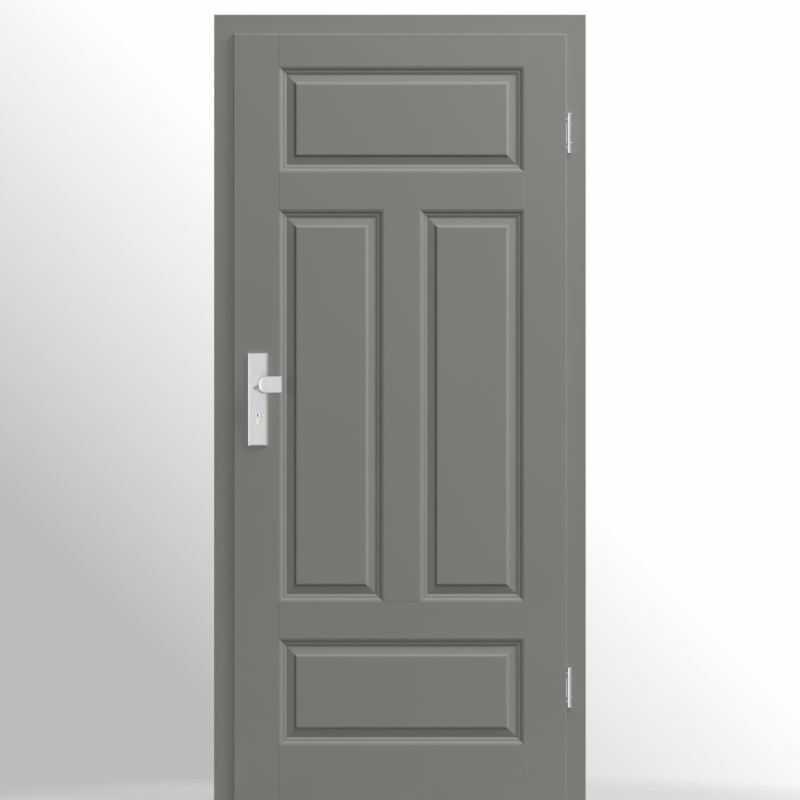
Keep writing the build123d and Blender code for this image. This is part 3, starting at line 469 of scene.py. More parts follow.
def islands(name):
    """The lowest and highest corner of each loose part of a CAD node."""
    work = bmesh.new()
    work.from_mesh(NODES[name].data)
    bmesh.ops.remove_doubles(work, verts=work.verts, dist=SAME_POINT)
    left, found = set(work.verts), []
    while left:
        edge = [left.pop()]
        part = list(edge)
        while edge:
            near = {e.other_vert(v) for v in edge for e in v.link_edges} & left
            left -= near
            edge = list(near)
            part += edge
        corners = [[pick(v.co[n] for v in part) for n in range(3)] for pick in (min, max)]
        found.append(tuple(Vector(corner) for corner in corners))
    work.free()
    return found


def joined(name, pieces):
    """One object with the meshes of several."""
    work = bmesh.new()
    for piece in pieces:
        work.from_mesh(piece.data)
    mesh = bpy.data.meshes.new(name)
    work.to_mesh(mesh)
    work.free()
    for material in pieces[0].data.materials:
        mesh.materials.append(material)
    for piece in pieces:
        bpy.data.meshes.remove(piece.data)
    return as_object(name, mesh)


def recalculate(piece):
    """Merge a mesh's doubles and turn all its faces outwards."""
    work = bmesh.new()
    work.from_mesh(piece.data)
    bmesh.ops.remove_doubles(work, verts=work.verts, dist=SAME_POINT)
    bmesh.ops.recalc_face_normals(work, faces=work.faces)
    work.to_mesh(piece.data)
    work.free()


SHANK_START = 0.6  # Where a screw's shank starts inside its head, as a share of the head's depth

# Geometry Nodes trees, and the kinds of node that they use most
MATH = "ShaderNodeMath"
XYZ = "ShaderNodeCombineXYZ"
MOVE = "GeometryNodeTransform"


def new_tree(name, numbers, vector):
    """A Geometry Nodes tree with named inputs; returns it with its inputs and its output node."""
    tree = bpy.data.node_groups.new(name, "GeometryNodeTree")
    sockets = {"Geometry": "Geometry", vector: "Vector", "Material": "Material"}
    for label, kind in {**sockets, **dict.fromkeys(numbers, "Float")}.items():
        tree.interface.new_socket(name=label, in_out="INPUT", socket_type=f"NodeSocket{kind}")
    tree.interface.new_socket(name="Geometry", in_out="OUTPUT", socket_type="NodeSocketGeometry")
    return tree, add_node(tree, "NodeGroupInput").outputs, add_node(tree, "NodeGroupOutput")


def close_tree(tree, shape, given, end):
    """End a tree: whole meshes with the material that the input names."""
    real = add_node(tree, "GeometryNodeRealizeInstances", {0: shape})
    painted = add_node(
        tree, "GeometryNodeSetMaterial", {"Geometry": real, "Material": given["Material"]}
    )
    fill(tree, end, {0: painted})


def run_tree(name, tree, mesh, inputs):
    """Run a tree on a mesh with its inputs set, and return the plain result as a new object."""
    piece = as_object(name, mesh)
    made = piece.modifiers.new("rule", "NODES")
    made.node_group = tree
    for item in tree.interface.items_tree:
        if item.in_out == "INPUT" and item.name in inputs:
            made[item.identifier] = inputs[item.name]
    return bake_modifiers(piece)


def line_mesh(name, points):
    """A mesh of one open line through points."""
    mesh = bpy.data.meshes.new(name)
    mesh.from_pydata(points, [(n, n + 1) for n in range(len(points) - 1)], [])
    return mesh


def rounded_profile(tree, given):
    """The input's line as points, with its corners rounded, and how many points it has."""
    line = add_node(tree, "GeometryNodeMeshToCurve", {0: given["Geometry"]})
    curve = add_node(
        tree,
        "GeometryNodeFilletCurve",
        {"Curve": line, "Radius": given["Rounding"], "Count": 2, "Limit Radius": True},
        mode="POLY",
    )
    points = add_node(tree, "GeometryNodeCurveToPoints", {0: curve}, mode="EVALUATED")
    count = add_node(tree, "GeometryNodeAttributeDomainSize", {0: points}, component="POINTCLOUD")
    return points, count


def profile_point(tree, points, index):
    """The inset and the rise of one profile point."""
    position = add_node(tree, "GeometryNodeInputPosition")
    sample = add_node(
        tree,
        "GeometryNodeSampleIndex",
        {"Geometry": points, "Value": position, "Index": index},
        data_type="FLOAT_VECTOR",
        domain="POINT",
    )
    inset, _, rise = add_node(tree, "ShaderNodeSeparateXYZ", {0: sample}).outputs
    return inset, add_node(tree, MATH, {0: rise, 1: -1.0}, operation="MULTIPLY")


def raised_panel_tree():
    """A raised panel: one profile carried round a rectangle with mitred corners, on both faces."""
    tree, given, end = new_tree("raised_panel", ("Width", "Height", "Rounding"), "Middle")
    points, count = rounded_profile(tree, given)
    # Five columns of profile points: the four corners, and the first corner again
    grid = add_node(tree, "GeometryNodeMeshGrid", {"Vertices X": 5, "Vertices Y": count})
    index = add_node(tree, "GeometryNodeInputIndex")
    column = add_node(tree, MATH, {0: index, 1: count}, operation="DIVIDE")
    corner = add_node(tree, MATH, {0: column}, operation="FLOOR")
    along = add_node(tree, MATH, {0: index, 1: count}, operation="MODULO")
    inset, lift = profile_point(tree, points, along)
    # The corner's diagonal gives the sign of its x and z
    quarter = add_node(tree, MATH, {0: corner, 1: 0.5}, operation="ADD")
    turn = add_node(tree, MATH, {0: quarter, 1: math.pi / 2}, operation="MULTIPLY")
    sides = []
    for size, wave in (("Width", "COSINE"), ("Height", "SINE")):
        half = add_node(tree, MATH, {0: given[size], 1: 2.0}, operation="DIVIDE")
        reach = add_node(tree, MATH, {0: half, 1: inset}, operation="SUBTRACT")
        swing = add_node(tree, MATH, {0: turn}, operation=wave)
        sign = add_node(tree, MATH, {0: swing}, operation="SIGN")
        sides.append(add_node(tree, MATH, {0: reach, 1: sign}, operation="MULTIPLY"))
    place = add_node(tree, XYZ, {0: sides[0], 1: lift, 2: sides[1]})
    rim = add_node(tree, "GeometryNodeSetPosition", {"Geometry": grid, "Position": place})
    # The field closes the innermost rectangle
    last = add_node(tree, MATH, {0: count, 1: 1.0}, operation="SUBTRACT")
    inset, lift = profile_point(tree, points, last)
    both_insets = add_node(tree, MATH, {0: inset, 1: 2.0}, operation="MULTIPLY")
    width, height = (
        add_node(tree, MATH, {0: given[size], 1: both_insets}, operation="SUBTRACT")
        for size in ("Width", "Height")
    )
    field = add_node(
        tree,
        "GeometryNodeMeshGrid",
        {"Size X": width, "Size Y": height, "Vertices X": 2, "Vertices Y": 2},
    )
    up = add_node(tree, XYZ, {1: lift})
    field = add_node(
        tree, MOVE, {"Geometry": field, "Translation": up, "Rotation": (math.pi / 2, 0, 0)}
    )
    front = add_node(tree, "GeometryNodeJoinGeometry", {0: [rim, field]})
    back = add_node(tree, MOVE, {"Geometry": front, "Scale": (1, -1, 1)})
    both = add_node(tree, "GeometryNodeJoinGeometry", {0: [front, back]})
    whole = add_node(tree, "GeometryNodeMergeByDistance", {"Geometry": both, "Distance": SEAM})
    moved = add_node(
        tree, "GeometryNodeSetPosition", {"Geometry": whole, "Offset": given["Middle"]}
    )
    close_tree(tree, moved, given, end)
    return tree


def screw_tree():
    """Screws at the input's points: a shank, a head and a star-shaped recess in its face."""
    sizes = (
        "Head Radius", "Head Depth", "Underhead Radius", "Shank Radius", "Length",
        "Recess Radius", "Recess Waist", "Recess Depth",
    )
    tree, given, end = new_tree("screws", sizes, "Turn")
    head = add_node(
        tree,
        "GeometryNodeMeshCone",
        {
            "Vertices": 48,
            "Radius Top": given["Head Radius"],
            "Radius Bottom": given["Underhead Radius"],
            "Depth": given["Head Depth"],
        },
    )
    shank = add_node(
        tree,
        "GeometryNodeMeshCylinder",
        {"Vertices": 24, "Radius": given["Shank Radius"], "Depth": given["Length"]},
    )
    tips, waist = given["Recess Radius"], given["Recess Waist"]
    star = add_node(
        tree, "GeometryNodeCurveStar", {"Points": 6, "Inner Radius": waist, "Outer Radius": tips}
    )
    face = add_node(tree, "GeometryNodeFillCurve", {0: star})
    tall = add_node(tree, MATH, {0: given["Recess Depth"], 1: 2.0}, operation="MULTIPLY")
    sides = add_node(
        tree, "GeometryNodeExtrudeMesh", {"Mesh": face, "Offset Scale": tall, "Individual": False}
    )
    base = add_node(tree, "GeometryNodeFlipFaces", {0: face})
    cutter = add_node(tree, "GeometryNodeJoinGeometry", {0: [sides, base]})
    cutter = add_node(tree, "GeometryNodeMergeByDistance", {"Geometry": cutter, "Distance": SEAM})
    # The head's face lies on the point, and the screw runs down from it
    head_drop = add_node(tree, MATH, {0: given["Head Depth"], 1: -1.0}, operation="MULTIPLY")
    middle = add_node(tree, MATH, {0: given["Length"], 1: -0.5}, operation="MULTIPLY")
    inside = add_node(tree, MATH, {0: given["Head Depth"], 1: SHANK_START}, operation="MULTIPLY")
    shank_drop = add_node(tree, MATH, {0: middle, 1: inside}, operation="SUBTRACT")
    # The star stands half above the face, so that it cuts clean through it
    star_drop = add_node(tree, MATH, {0: given["Recess Depth"], 1: -1.0}, operation="MULTIPLY")
    lowered = []
    for shape, drop in ((head, head_drop), (shank, shank_drop), (cutter, star_drop)):
        down = add_node(tree, XYZ, {2: drop})
        lowered.append(add_node(tree, MOVE, {"Geometry": shape, "Translation": down}))
    head, shank, cutter = lowered
    head = add_node(
        tree,
        "GeometryNodeMeshBoolean",
        {0: head, 1: cutter},
        operation="DIFFERENCE",
        solver="EXACT",
    )
    screw = add_node(tree, "GeometryNodeJoinGeometry", {0: [head, shank]})
    turn = add_node(tree, "FunctionNodeEulerToRotation", {0: given["Turn"]})
    places = add_node(
        tree,
        "GeometryNodeInstanceOnPoints",
        {"Points": given["Geometry"], "Instance": screw, "Rotation": turn},
    )
    close_tree(tree, places, given, end)
    return tree


def spring_tree():
    """A compression spring: round wire wound into a helix along the X axis."""
    tree, given, end = new_tree("wound_spring", ("Turns", "Radius", "Wire", "Length"), "Start")
    helix = add_node(
        tree,
        "GeometryNodeCurveSpiral",
        {
            "Resolution": 24,
            "Rotations": given["Turns"],
            "Start Radius": given["Radius"],
            "End Radius": given["Radius"],
            "Height": given["Length"],
        },
    )
    wire = add_node(
        tree, "GeometryNodeCurvePrimitiveCircle", {"Resolution": 10, "Radius": given["Wire"]}
    )
    coil = add_node(
        tree, "GeometryNodeCurveToMesh", {"Curve": helix, "Profile Curve": wire, "Fill Caps": True}
    )
    laid = add_node(
        tree,
        MOVE,
        {"Geometry": coil, "Rotation": (0, math.pi / 2, 0), "Translation": given["Start"]},
    )
    close_tree(tree, laid, given, end)
    return tree


# Meshes skinned over rings of points
def skin(name, rings):
    """A closed mesh over rings that all have the same number of points."""
    count = len(rings[0])
    last = (len(rings) - 1) * count
    faces = []
    for start in range(0, last, count):
        for n in range(count):
            a, b = start + n, start + (n + 1) % count
            faces.append((a, b, b + count, a + count))
    faces.append(tuple(reversed(range(count))))
    faces.append(tuple(range(last, last + count)))
    mesh = bpy.data.meshes.new(name)
    mesh.from_pydata([spot for ring in rings for spot in ring], [], faces)
    piece = as_object(name, mesh)
    recalculate(piece)
    return piece


# Pieces of the pad's round end, its long sides, its right end and each corner
ROUND_STEPS, SIDE_STEPS, END_STEPS, CORNER_STEPS = 48, 10, 8, 4
SMALLEST_CORNER = 0.0002


def pad_outline(left, right, low, high, share, corner, inset):
    """The pad's outline from the front: a half ellipse at the left and two corners at the right."""
    reach = (right - left) * share
    middle, half = (low + high) / 2, (high - low) / 2
    centre = left + reach
    points = []
    for n in range(ROUND_STEPS + 1):
        a = math.pi / 2 + math.pi * n / ROUND_STEPS
        points.append(
            (centre + (reach - inset) * math.cos(a), middle + (half - inset) * math.sin(a))
        )
    end, bottom, top = right - inset, low + inset, high - inset
    radius = max(corner - inset, SMALLEST_CORNER)
    start, run = end - radius, end - radius - centre
    points += [(centre + run * n / SIDE_STEPS, bottom) for n in range(1, SIDE_STEPS)]
    rise = top - bottom - 2 * radius
    for turn, height in ((-1, bottom + radius), (0, top - radius)):
        for n in range(CORNER_STEPS + 1):
            a = math.pi / 2 * (n / CORNER_STEPS + turn)
            points.append((start + radius * math.cos(a), height + radius * math.sin(a)))
        if turn < 0:
            points += [(end, height + rise * n / END_STEPS) for n in range(1, END_STEPS)]
    points += [(start - run * n / SIDE_STEPS, top) for n in range(1, SIDE_STEPS)]
    return points


# White strips of the room that metal shows: where each starts, where it is full and how bright
FRONT_STRIP = (0.34, 0.16, 1.18)
LEFT_STRIP = (0.32, 0.14, 1.7)
TOP_STRIP = (0.3, 0.75, 1.1)
LEFT_MIDDLE = 0.62


class DOOR_OT_stage(bpy.types.Operator):
    """Build the floor, the lamps, the background and the camera"""
    bl_idname = "entry_door.stage"
    bl_label = "Stage"

    def execute(self, context):
        stage = context.scene.entry_door.stage
        context.scene.view_settings.view_transform = "Standard"
        self.camera(context, stage)
        self.floor(stage)
        # One soft light from the upper right; its fill half leaves the shadows open
        for name, power in (("key", stage.key), ("fill", stage.fill)):
            self.lamp(context, name, stage.lamp_place, stage.lamp_aim, stage.lamp_size, power)
        bpy.data.lights["fill"].use_shadow = False
        self.lamp(context, "back", stage.back_place, stage.back_aim, stage.back_size, stage.back)
        self.world(context, stage)
        return {"FINISHED"}

    def camera(self, context, stage):
        """A level camera in front of the leaf, far enough for a view that hardly narrows."""
        leaf_front = min(v.co.y for v in NODES["stile_lock"].data.vertices)
        camera = bpy.data.cameras.new("camera")
        camera.lens = stage.lens
        camera.sensor_width = SENSOR_WIDTH
        camera.clip_end = 200
        view = bpy.data.objects.new("camera", camera)
        view.location = (0, leaf_front - stage.height * stage.lens / SENSOR_WIDTH, stage.aim)
        view.rotation_euler = (math.pi / 2, 0, 0)
        context.scene.collection.objects.link(view)
        context.scene.camera = view

    def floor(self, stage):
        """A pale floor whose far parts fade into the background."""
        reach = stage.floor_reach
        mesh = bpy.data.meshes.new("floor")
        corners = [(-reach, -reach, 0), (reach, -reach, 0), (reach, reach, 0), (-reach, reach, 0)]
        mesh.from_pydata(corners, [], [(0, 1, 2, 3)])
        floor = as_object("floor", mesh)
        material, tree, shader, place = new_material("pale_studio_floor")
        tone = mottled(tree, place, stage.floor, size=0.5, low=0.99, high=1.01)
        fill(tree, shader, {"Base Color": tone, "Roughness": 0.8})
        away = add_node(tree, "ShaderNodeVectorMath", {0: place}, operation="LENGTH")
        fade = add_node(
            tree,
            "ShaderNodeMapRange",
            {0: away.outputs["Value"], 1: stage.fade_start, 2: stage.fade_end},
            interpolation_type="SMOOTHSTEP",
        )
        clear = add_node(tree, "ShaderNodeBsdfTransparent")
        mixed = add_node(tree, "ShaderNodeMixShader", {0: fade, 1: shader, 2: clear})
        fill(tree, tree.nodes["Material Output"], {0: mixed})
        mesh.materials.append(material)

    def lamp(self, context, name, place, aim, size, power):
        """A square soft lamp that faces a point."""
        light = bpy.data.lights.new(name, "AREA")
        light.size = size
        light.energy = power
        lamp = bpy.data.objects.new(name, light)
        lamp.location = place
        way = Vector(aim) - Vector(place)
        lamp.rotation_euler = way.to_track_quat("-Z", "Y").to_euler()
        context.scene.collection.objects.link(lamp)

    def world(self, context, stage):
        """Even light for the object, and what the camera and the metal see around it."""
        world = bpy.data.worlds.new("studio")
        context.scene.world = world
        world.use_nodes = True
        tree = world.node_tree
        even = tree.nodes["Background"]
        fill(tree, even, {0: (1, 1, 1, 1), 1: stage.world})
        view = add_node(tree, "ShaderNodeTexCoord").outputs["Generated"]
        path = add_node(tree, "ShaderNodeLightPath").outputs
        room, backdrop = self.room(tree, stage, view), self.backdrop(tree, stage, view)
        around = add_node(
            tree,
            "ShaderNodeMix",
            {0: path["Is Camera Ray"], 6: room, 7: backdrop},
            data_type="RGBA",
        ).outputs[2]
        white = add_node(tree, "ShaderNodeBackground", {0: around, 1: 1.0})
        seen = path["Is Camera Ray"]
        for name in ("Is Glossy Ray", "Is Transmission Ray"):
            seen = add_node(tree, MATH, {0: seen, 1: path[name]}, operation="MAXIMUM")
        mixed = add_node(tree, "ShaderNodeMixShader", {0: seen, 1: even, 2: white})
        fill(tree, tree.nodes["World Output"], {0: mixed})

    def backdrop(self, tree, stage, view):
        """The white behind the door, which falls off to a pale grey at the lower left."""
        slope = add_node(
            tree, "ShaderNodeVectorMath", {0: view, 1: (-1.0, 0.0, -1.0)}, operation="DOT_PRODUCT"
        )
        fall = add_node(
            tree,
            "ShaderNodeMapRange",
            {0: slope.outputs["Value"], 1: stage.shade_start, 2: stage.shade_end},
        )
        return add_node(
            tree,
            "ShaderNodeMix",
            {0: fall, 6: (*stage.white, 1), 7: (*stage.grey, 1)},
            data_type="RGBA",
        ).outputs[2]

    def room(self, tree, stage, view):
        """A grey room with a white strip in front, a second one at the left and one above."""
        way = add_node(tree, "ShaderNodeSeparateXYZ", {0: view}).outputs
        front = add_node(tree, MATH, {0: way[0]}, operation="ABSOLUTE")
        left = add_node(tree, MATH, {0: way[0], 1: LEFT_MIDDLE}, operation="ADD")
        left = add_node(tree, MATH, {0: left}, operation="ABSOLUTE")
        brightest = stage.room
        for value, (start, full, level) in (
            (front, FRONT_STRIP), (left, LEFT_STRIP), (way[2], TOP_STRIP)
        ):
            strip = add_node(
                tree,
                "ShaderNodeMapRange",
                {0: value, 1: start, 2: full, 3: stage.room, 4: level},
                interpolation_type="SMOOTHSTEP",
            )
            brightest = add_node(tree, MATH, {0: strip, 1: brightest}, operation="MAXIMUM")
        return brightest


class DOOR_OT_boards(bpy.types.Operator):
    """Round the edges of the leaf's stiles, rails and mullion and lacquer them"""
    bl_idname = "entry_door.boards"
    bl_label = "Stiles and rails"

    def execute(self, context):
        edges = context.scene.entry_door.edges
        rails = [f"rail_{place}" for place in ("top", "upper", "lower", "bottom")]
        for name in ("stile_lock", "stile_hinge", *rails, "mullion"):
            softened(name, edges.wood)
        dress("leaf_dowels")
        return {"FINISHED"}


RISER_STEPS = 8  # Pieces of the curve between the bevel and the field


class DOOR_OT_panels(bpy.types.Operator):
    """Build the four raised panels from one profile"""
    bl_idname = "entry_door.panels"
    bl_label = "Raised panels"

    def execute(self, context):
        sizes = context.scene.entry_door.panel
        tree = raised_panel_tree()
        rise = sizes.field_face - sizes.riser_head
        run = sizes.field_edge - sizes.riser_end
        radius = (run * run + rise * rise) / (2 * rise)
        sweep = math.asin(run / radius)
        profile = [
            (sizes.tongue_edge, 0, 0),
            (sizes.tongue_edge, 0, sizes.tongue_face),
            (sizes.bevel_start, 0, sizes.bevel_foot),
            (sizes.bevel_end, 0, sizes.bevel_head),
        ]
        for n in range(RISER_STEPS + 1):
            a = sweep * (1 - n / RISER_STEPS)
            edge = sizes.field_edge - radius * math.sin(a)
            face = sizes.field_face - radius * (1 - math.cos(a))
            profile.append((edge, 0, face))
        # A last strip of flat field carries the curve's end
        profile.append((sizes.field_edge + 0.002, 0, sizes.field_face))
        for name in ("panel_top", "panel_left", "panel_right", "panel_bottom"):
            low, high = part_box(name)
            inputs = {
                "Width": high.x - low.x + 2 * sizes.tongue_edge,
                "Height": high.z - low.z + 2 * sizes.tongue_edge,
                "Middle": (low + high) / 2,
                "Rounding": sizes.rounding,
                "Material": finish("lacquered_wood"),
            }
            piece = run_tree(f"{name}_raised", tree, line_mesh(name, profile), inputs)
            recalculate(piece)
            # A small angle keeps the mitres crisp
            even_normals(piece, 12)
            settle(piece, name)
        return {"FINISHED"}


class DOOR_OT_frame(bpy.types.Operator):
    """Round the edges of the casings, lacquer them and the linings, and dress the seals"""
    bl_idname = "entry_door.frame"
    bl_label = "Frame and seals"

    def execute(self, context):
        edges = context.scene.entry_door.edges
        for side in ("hinge", "lock", "head"):
            softened(f"front_casing_{side}", edges.board)
            softened(f"rear_casing_{side}", edges.board)
            dress(f"lining_{side}", f"seal_{side}")
        return {"FINISHED"}


class DOOR_OT_hinges(bpy.types.Operator):
    """Round the edges of the hinges' parts, caps and receivers and dress their pins and bushes"""
    bl_idname = "entry_door.hinges"
    bl_label = "Hinges"

    def execute(self, context):
        edges = context.scene.entry_door.edges
        for place in ("upper", "lower"):
            for part in ("leaf_part", "frame_part", "caps", "receiver"):
                softened(f"hinge_{part}_{place}", edges.steel)
            dress(f"hinge_pin_{place}", f"hinge_bushes_{place}")
        return {"FINISHED"}


class DOOR_OT_plates(bpy.types.Operator):
    """Round and brush the outer and inner plates"""
    bl_idname = "entry_door.plates"
    bl_label = "Plates"

    def execute(self, context):
        edges = context.scene.entry_door.edges
        for name, front in (("outer_plate", 0), ("inner_plate", 1)):
            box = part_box(name)
            face, near = box[front].y, edges.bevel

            def widen(spot):
                """Draw the long sides' chamfers out to a broad flat bevel."""
                for side in (0, 1):
                    inset = abs(spot.x - box[side].x)
                    if abs(spot.y - face) < near and 0 < inset < near:
                        spot.x = box[side].x + (near if side == 0 else -near)
                return spot

            softened(name, edges.plate, reshape=widen)
        return {"FINISHED"}


PAD_FRONT = 0.8  # The knob's vertices within this share of the pad's thickness outline the pad
# The knob's foot as shares of the way from the plate to the pad
FLANGE = ((0.0, 1.0), (0.025, 1.0), (0.035, 0.985), (0.04, 0.95))  # Each with its scale
NECK_STEPS = 12
NECK_END = 0.88  # Here the neck starts to flow into the pad's underside
NECK_TAPER = 0.15  # How much it narrows over the whole way
WAIST_END = 0.95
# The pad's rings
UNDER_STEPS, RIM_STEPS, DOME_STEPS = 4, 5, 8
UNDER_EDGE = 0.6  # The lower edge's rounding as a share of the upper one's


class DOOR_OT_knob(bpy.types.Operator):
    """Skin the fixed outer knob over its outlines"""
    bl_idname = "entry_door.knob"
    bl_label = "Outer knob"

    def execute(self, context):
        sizes = context.scene.entry_door.knob
        low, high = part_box("outer_knob")
        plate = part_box("outer_plate")
        axis = (plate[0].x + plate[1].x) / 2
        spindle = (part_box("spindle")[0].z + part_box("spindle")[1].z) / 2
        # The node's box also holds the neck's foot, so the pad's edges come from its front vertices
        limit = low.y + PAD_FRONT * sizes.thickness
        front = [v.co for v in NODES["outer_knob"].data.vertices if v.co.y < limit]
        pad_left, pad_right = min(p.x for p in front), max(p.x for p in front)
        pad_low, pad_high = min(p.z for p in front), max(p.z for p in front)
        face, back = low.y, low.y + sizes.thickness

        def pad(y, inset, slope=0.0):
            """The pad's outline at a depth, set in and sloping back towards the round end."""
            outline = pad_outline(
                pad_left, pad_right, pad_low, pad_high, sizes.pad_round, sizes.corner, inset
            )
            span = pad_right - pad_left
            return [(x, y + slope * ((pad_right - x) / span) ** 2, z) for x, z in outline]

        centre = (pad_left + (pad_right - pad_left) * sizes.pad_round, (pad_low + pad_high) / 2)
        angles = [math.atan2(z - centre[1], x - centre[0]) for x, y, z in pad(0, 0.002)]
        reach = high.y - back
        foot = (axis, spindle)

        def neck(share, scale):
            """One drop-shaped section of the neck, at a share of the way to the pad."""
            place = [a + (b - a) * share for a, b in zip(foot, centre)]
            points = self.drop(angles, sizes, place, scale * (1 - NECK_TAPER * share), share)
            return [(x, high.y - share * reach, z) for x, z in points]

        # A thin flange on the plate, then the neck, waisted like a poured drop
        rings = [neck(share, scale) for share, scale in FLANGE]
        start, scale = FLANGE[-1]
        for n in range(1, NECK_STEPS + 1):
            share = start + (NECK_END - start) * n / NECK_STEPS
            waist = sizes.waist * math.sin(math.pi * min(share / WAIST_END, 1.0))
            rings.append(neck(share, scale - waist))
        last = rings[-1]
        under = pad(back, sizes.under)
        for share in (0.25, 0.5, 0.75):
            y = back + (1 - NECK_END) * reach * (1 - math.sin(share * math.pi / 2))
            flow = share * share
            rings.append(
                [
                    (a[0] + (b[0] - a[0]) * flow, y, a[2] + (b[2] - a[2]) * flow)
                    for a, b in zip(last, under)
                ]
            )
        rings.append(under)
        lower = UNDER_EDGE * sizes.edge
        for n in range(UNDER_STEPS + 1):
            a = math.pi / 2 * n / UNDER_STEPS
            rings.append(pad(back - lower * math.sin(a), lower * (1 - math.sin(a))))
        for n in range(RIM_STEPS + 1):
            a = math.pi / 2 * n / RIM_STEPS
            rim = face + sizes.edge * (1 - math.sin(a))
            rings.append(pad(rim, sizes.edge * (1 - math.cos(a)), sizes.dome))
        # The pad's face slopes back towards its round end
        for n in range(1, DOME_STEPS + 1):
            share = n / DOME_STEPS
            inset = sizes.edge + sizes.dome_reach * share
            rings.append(pad(face, inset, sizes.dome * (1 - share) ** 2))
        piece = skin("outer_knob_skinned", rings)
        even_normals(piece, 50)
        settle(piece, "outer_knob")
        return {"FINISHED"}

    def drop(self, angles, sizes, place, scale, ease):
        """The hull of a small circle at the lower left and a large one, seen from the front."""
        tip = sizes.tip + (sizes.body - sizes.tip) * ease
        shift = (1 - ease) * scale
        tip_at = (place[0] - sizes.tip_reach * shift, place[1] - sizes.tip_drop * shift)
        body_at = (place[0] + sizes.body_shift * shift, place[1])
        points = []
        for a in angles:
            ends = ((tip * scale, tip_at), (sizes.body * scale, body_at))
            # The hull's farthest point in a direction lies on the circle that reaches farther there
            r, at = max(ends, key=lambda e: e[1][0] * math.cos(a) + e[1][1] * math.sin(a) + e[0])
            points.append((at[0] + r * math.cos(a), at[1] + r * math.sin(a)))
        return points


class DOOR_OT_lever(bpy.types.Operator):
    """Round the inner lever's edges and dress its spindle and follower"""
    bl_idname = "entry_door.lever"
    bl_label = "Inner lever"

    def execute(self, context):
        softened("inner_lever", context.scene.entry_door.edges.steel, angle=50)
        dress("spindle", "lock_follower")
        return {"FINISHED"}


KEYWAY_REACH = 0.8  # Share of the plug's radius that the key slot takes
KEYWAY_SLANT = 0.6  # Share of its depth by which one side of the slot's floor rises
KEYWAY_ENDS = 0.001  # From the plug's two ends to what counts as the slot's floor, in metres


class DOOR_OT_cylinder(bpy.types.Operator):
    """Finish the profile cylinder, its plugs and its cam"""
    bl_idname = "entry_door.cylinder"
    bl_label = "Cylinder"

    def execute(self, context):
        edges = context.scene.entry_door.edges
        softened("cylinder_body", edges.steel)
        for name in ("plug_outer", "plug_inner"):
            low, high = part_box(name)
            axis = (low + high) / 2
            mouth = low.y if name == "plug_outer" else high.y

            def open_keyway(spot):
                """Draw the slot's sides apart and slant its floor, so that it looks dark."""
                aside = spot.x - axis.x
                reach = KEYWAY_REACH * (high.x - axis.x)
                if 0 < abs(aside) < edges.keyway and abs(spot.z - axis.z) < reach:
                    spot.x = axis.x + math.copysign(edges.keyway, aside)
                    if aside > 0 and low.y + KEYWAY_ENDS < spot.y < high.y - KEYWAY_ENDS:
                        spot.y += KEYWAY_SLANT * (mouth - spot.y)
                return spot

            softened(name, edges.steel, reshape=open_keyway)
        dress("cylinder_cam")
        return {"FINISHED"}


class DOOR_OT_lock(bpy.types.Operator):
    """Finish the mortise lock and the strike plate"""
    bl_idname = "entry_door.lock"
    bl_label = "Lock and strike plate"

    def execute(self, context):
        edges = context.scene.entry_door.edges
        for name in ("lock_faceplate", "strike_plate", "latch_bolt", "dead_bolt"):
            softened(name, edges.steel)
        dress("lock_case", "lock_cover")
        return {"FINISHED"}


class DOOR_OT_screws(bpy.types.Operator):
    """Set all screws from one rule, with star-shaped recesses"""
    bl_idname = "entry_door.screws"
    bl_label = "Screws"

    def execute(self, context):
        sizes = context.scene.entry_door.screws
        tree = screw_tree()
        inward, outward, back = (0, -math.pi / 2, 0), (0, math.pi / 2, 0), (-math.pi / 2, 0, 0)
        for name, turn, depth, shank, under in (
            ("plate_screws", back, sizes.plate_head, sizes.plate_shank, 1.0),
            ("faceplate_screws", inward, sizes.face_head, sizes.face_shank, 1.0),
            ("cylinder_screw", inward, sizes.face_head, sizes.cylinder_shank, 1.0),
            ("strike_screws", outward, sizes.strike_head, sizes.strike_shank, 0.5),
            ("receiver_screws", inward, sizes.receiver_head, sizes.receiver_shank, 1.0),
        ):
            along = 1 if turn == back else 0
            groups = {}
            for low, high in islands(name):
                radius = round((high.z - low.z) / 2, 4)
                reach = round(high[along] - low[along], 4)
                place = (low + high) / 2
                place[along] = low[along] if turn == inward else high[along]
                groups.setdefault((radius, reach), []).append(place)
            made = []
            for (radius, reach), places in groups.items():
                mesh = bpy.data.meshes.new(name)
                mesh.from_pydata([tuple(place) for place in places], [], [])
                inputs = {
                    "Head Radius": radius,
                    "Head Depth": depth,
                    "Underhead Radius": radius * under,
                    "Shank Radius": shank,
                    "Length": reach,
                    "Recess Radius": sizes.recess * radius,
                    "Recess Waist": sizes.waist * radius,
                    "Recess Depth": sizes.sink * depth,
                    "Turn": turn,
                    "Material": finish(slot_of(name)),
                }
                made.append(run_tree(f"{name}_set", tree, mesh, inputs))
            piece = joined(f"{name}_set", made)
            even_normals(piece, 40)
            settle(piece, name)
        return {"FINISHED"}


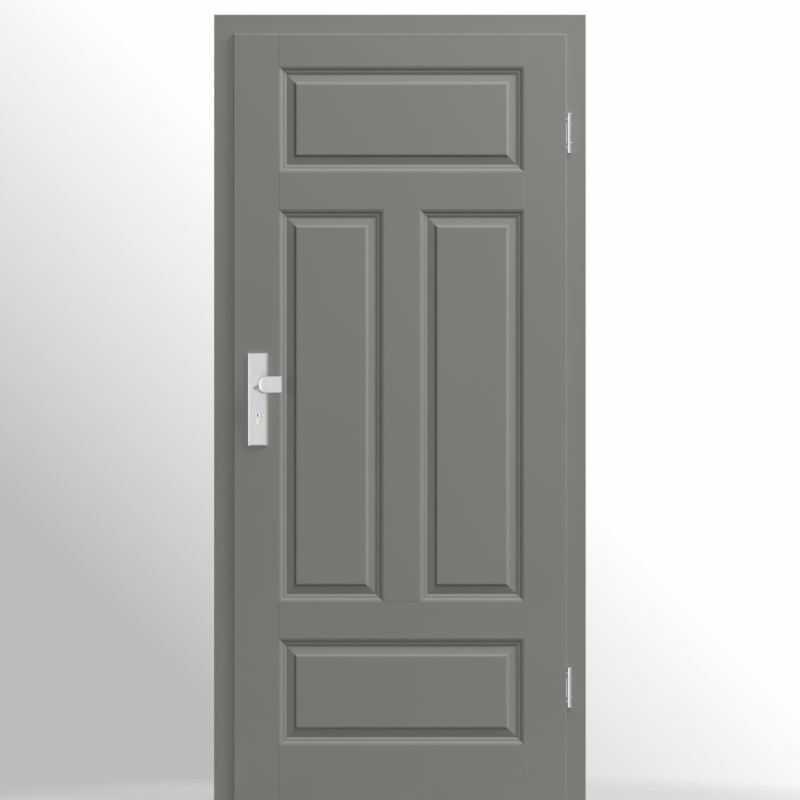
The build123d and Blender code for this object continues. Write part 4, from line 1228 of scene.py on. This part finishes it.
class DOOR_OT_spring(bpy.types.Operator):
    """Wind the latch's spring"""
    bl_idname = "entry_door.spring"
    bl_label = "Latch spring"

    def execute(self, context):
        sizes = context.scene.entry_door.spring
        low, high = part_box("latch_spring")
        middle = (low + high) / 2
        run = high.x - low.x - 2 * sizes.wire
        inputs = {
            "Turns": run / sizes.pitch,
            "Radius": (high.z - low.z) / 2 - sizes.wire,
            "Wire": sizes.wire,
            "Length": run,
            "Start": (low.x + sizes.wire, middle.y, middle.z),
            "Material": finish("spring_steel"),
        }
        mesh = bpy.data.meshes.new("latch_spring")
        piece = run_tree("latch_spring_wound", spring_tree(), mesh, inputs)
        even_normals(piece, 60)
        settle(piece, "latch_spring")
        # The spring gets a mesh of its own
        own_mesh(piece)
        return {"FINISHED"}


OPERATORS = (
    DOOR_OT_stage, DOOR_OT_boards, DOOR_OT_panels, DOOR_OT_frame, DOOR_OT_hinges, DOOR_OT_plates,
    DOOR_OT_knob, DOOR_OT_lever, DOOR_OT_cylinder, DOOR_OT_lock, DOOR_OT_screws, DOOR_OT_spring,
)


class DOOR_PT_panel(bpy.types.Panel):
    """The door's pieces in the 3D view's sidebar"""
    bl_idname = "DOOR_PT_panel"
    bl_label = "Entry door"
    bl_space_type = "VIEW_3D"
    bl_region_type = "UI"
    bl_category = "Entry door"

    def draw(self, context):
        for operator in OPERATORS:
            self.layout.operator(operator.bl_idname)
        for group in DoorSettings.__annotations__:
            sizes = getattr(context.scene.entry_door, group)
            column = self.layout.box().column()
            for name in type(sizes).__annotations__:
                column.prop(sizes, name)


CLASSES = (
    DoorFinishes, DoorEdges, PanelSizes, KnobSizes, ScrewSizes, SpringSizes, StageSizes,
    DoorSettings, *OPERATORS, DOOR_PT_panel,
)


def register():
    """Register the classes and hang the settings on the scene."""
    for made in CLASSES:
        bpy.utils.register_class(made)
    bpy.types.Scene.entry_door = PointerProperty(type=DoorSettings)


def unregister():
    """Take the settings and the classes away again."""
    del bpy.types.Scene.entry_door
    for made in reversed(CLASSES):
        bpy.utils.unregister_class(made)


def main():
    """Build every piece in order."""
    register()
    for operator in OPERATORS:
        group, name = operator.bl_idname.split(".")
        getattr(getattr(bpy.ops, group), name)()


if __name__ == "__main__":
    main()
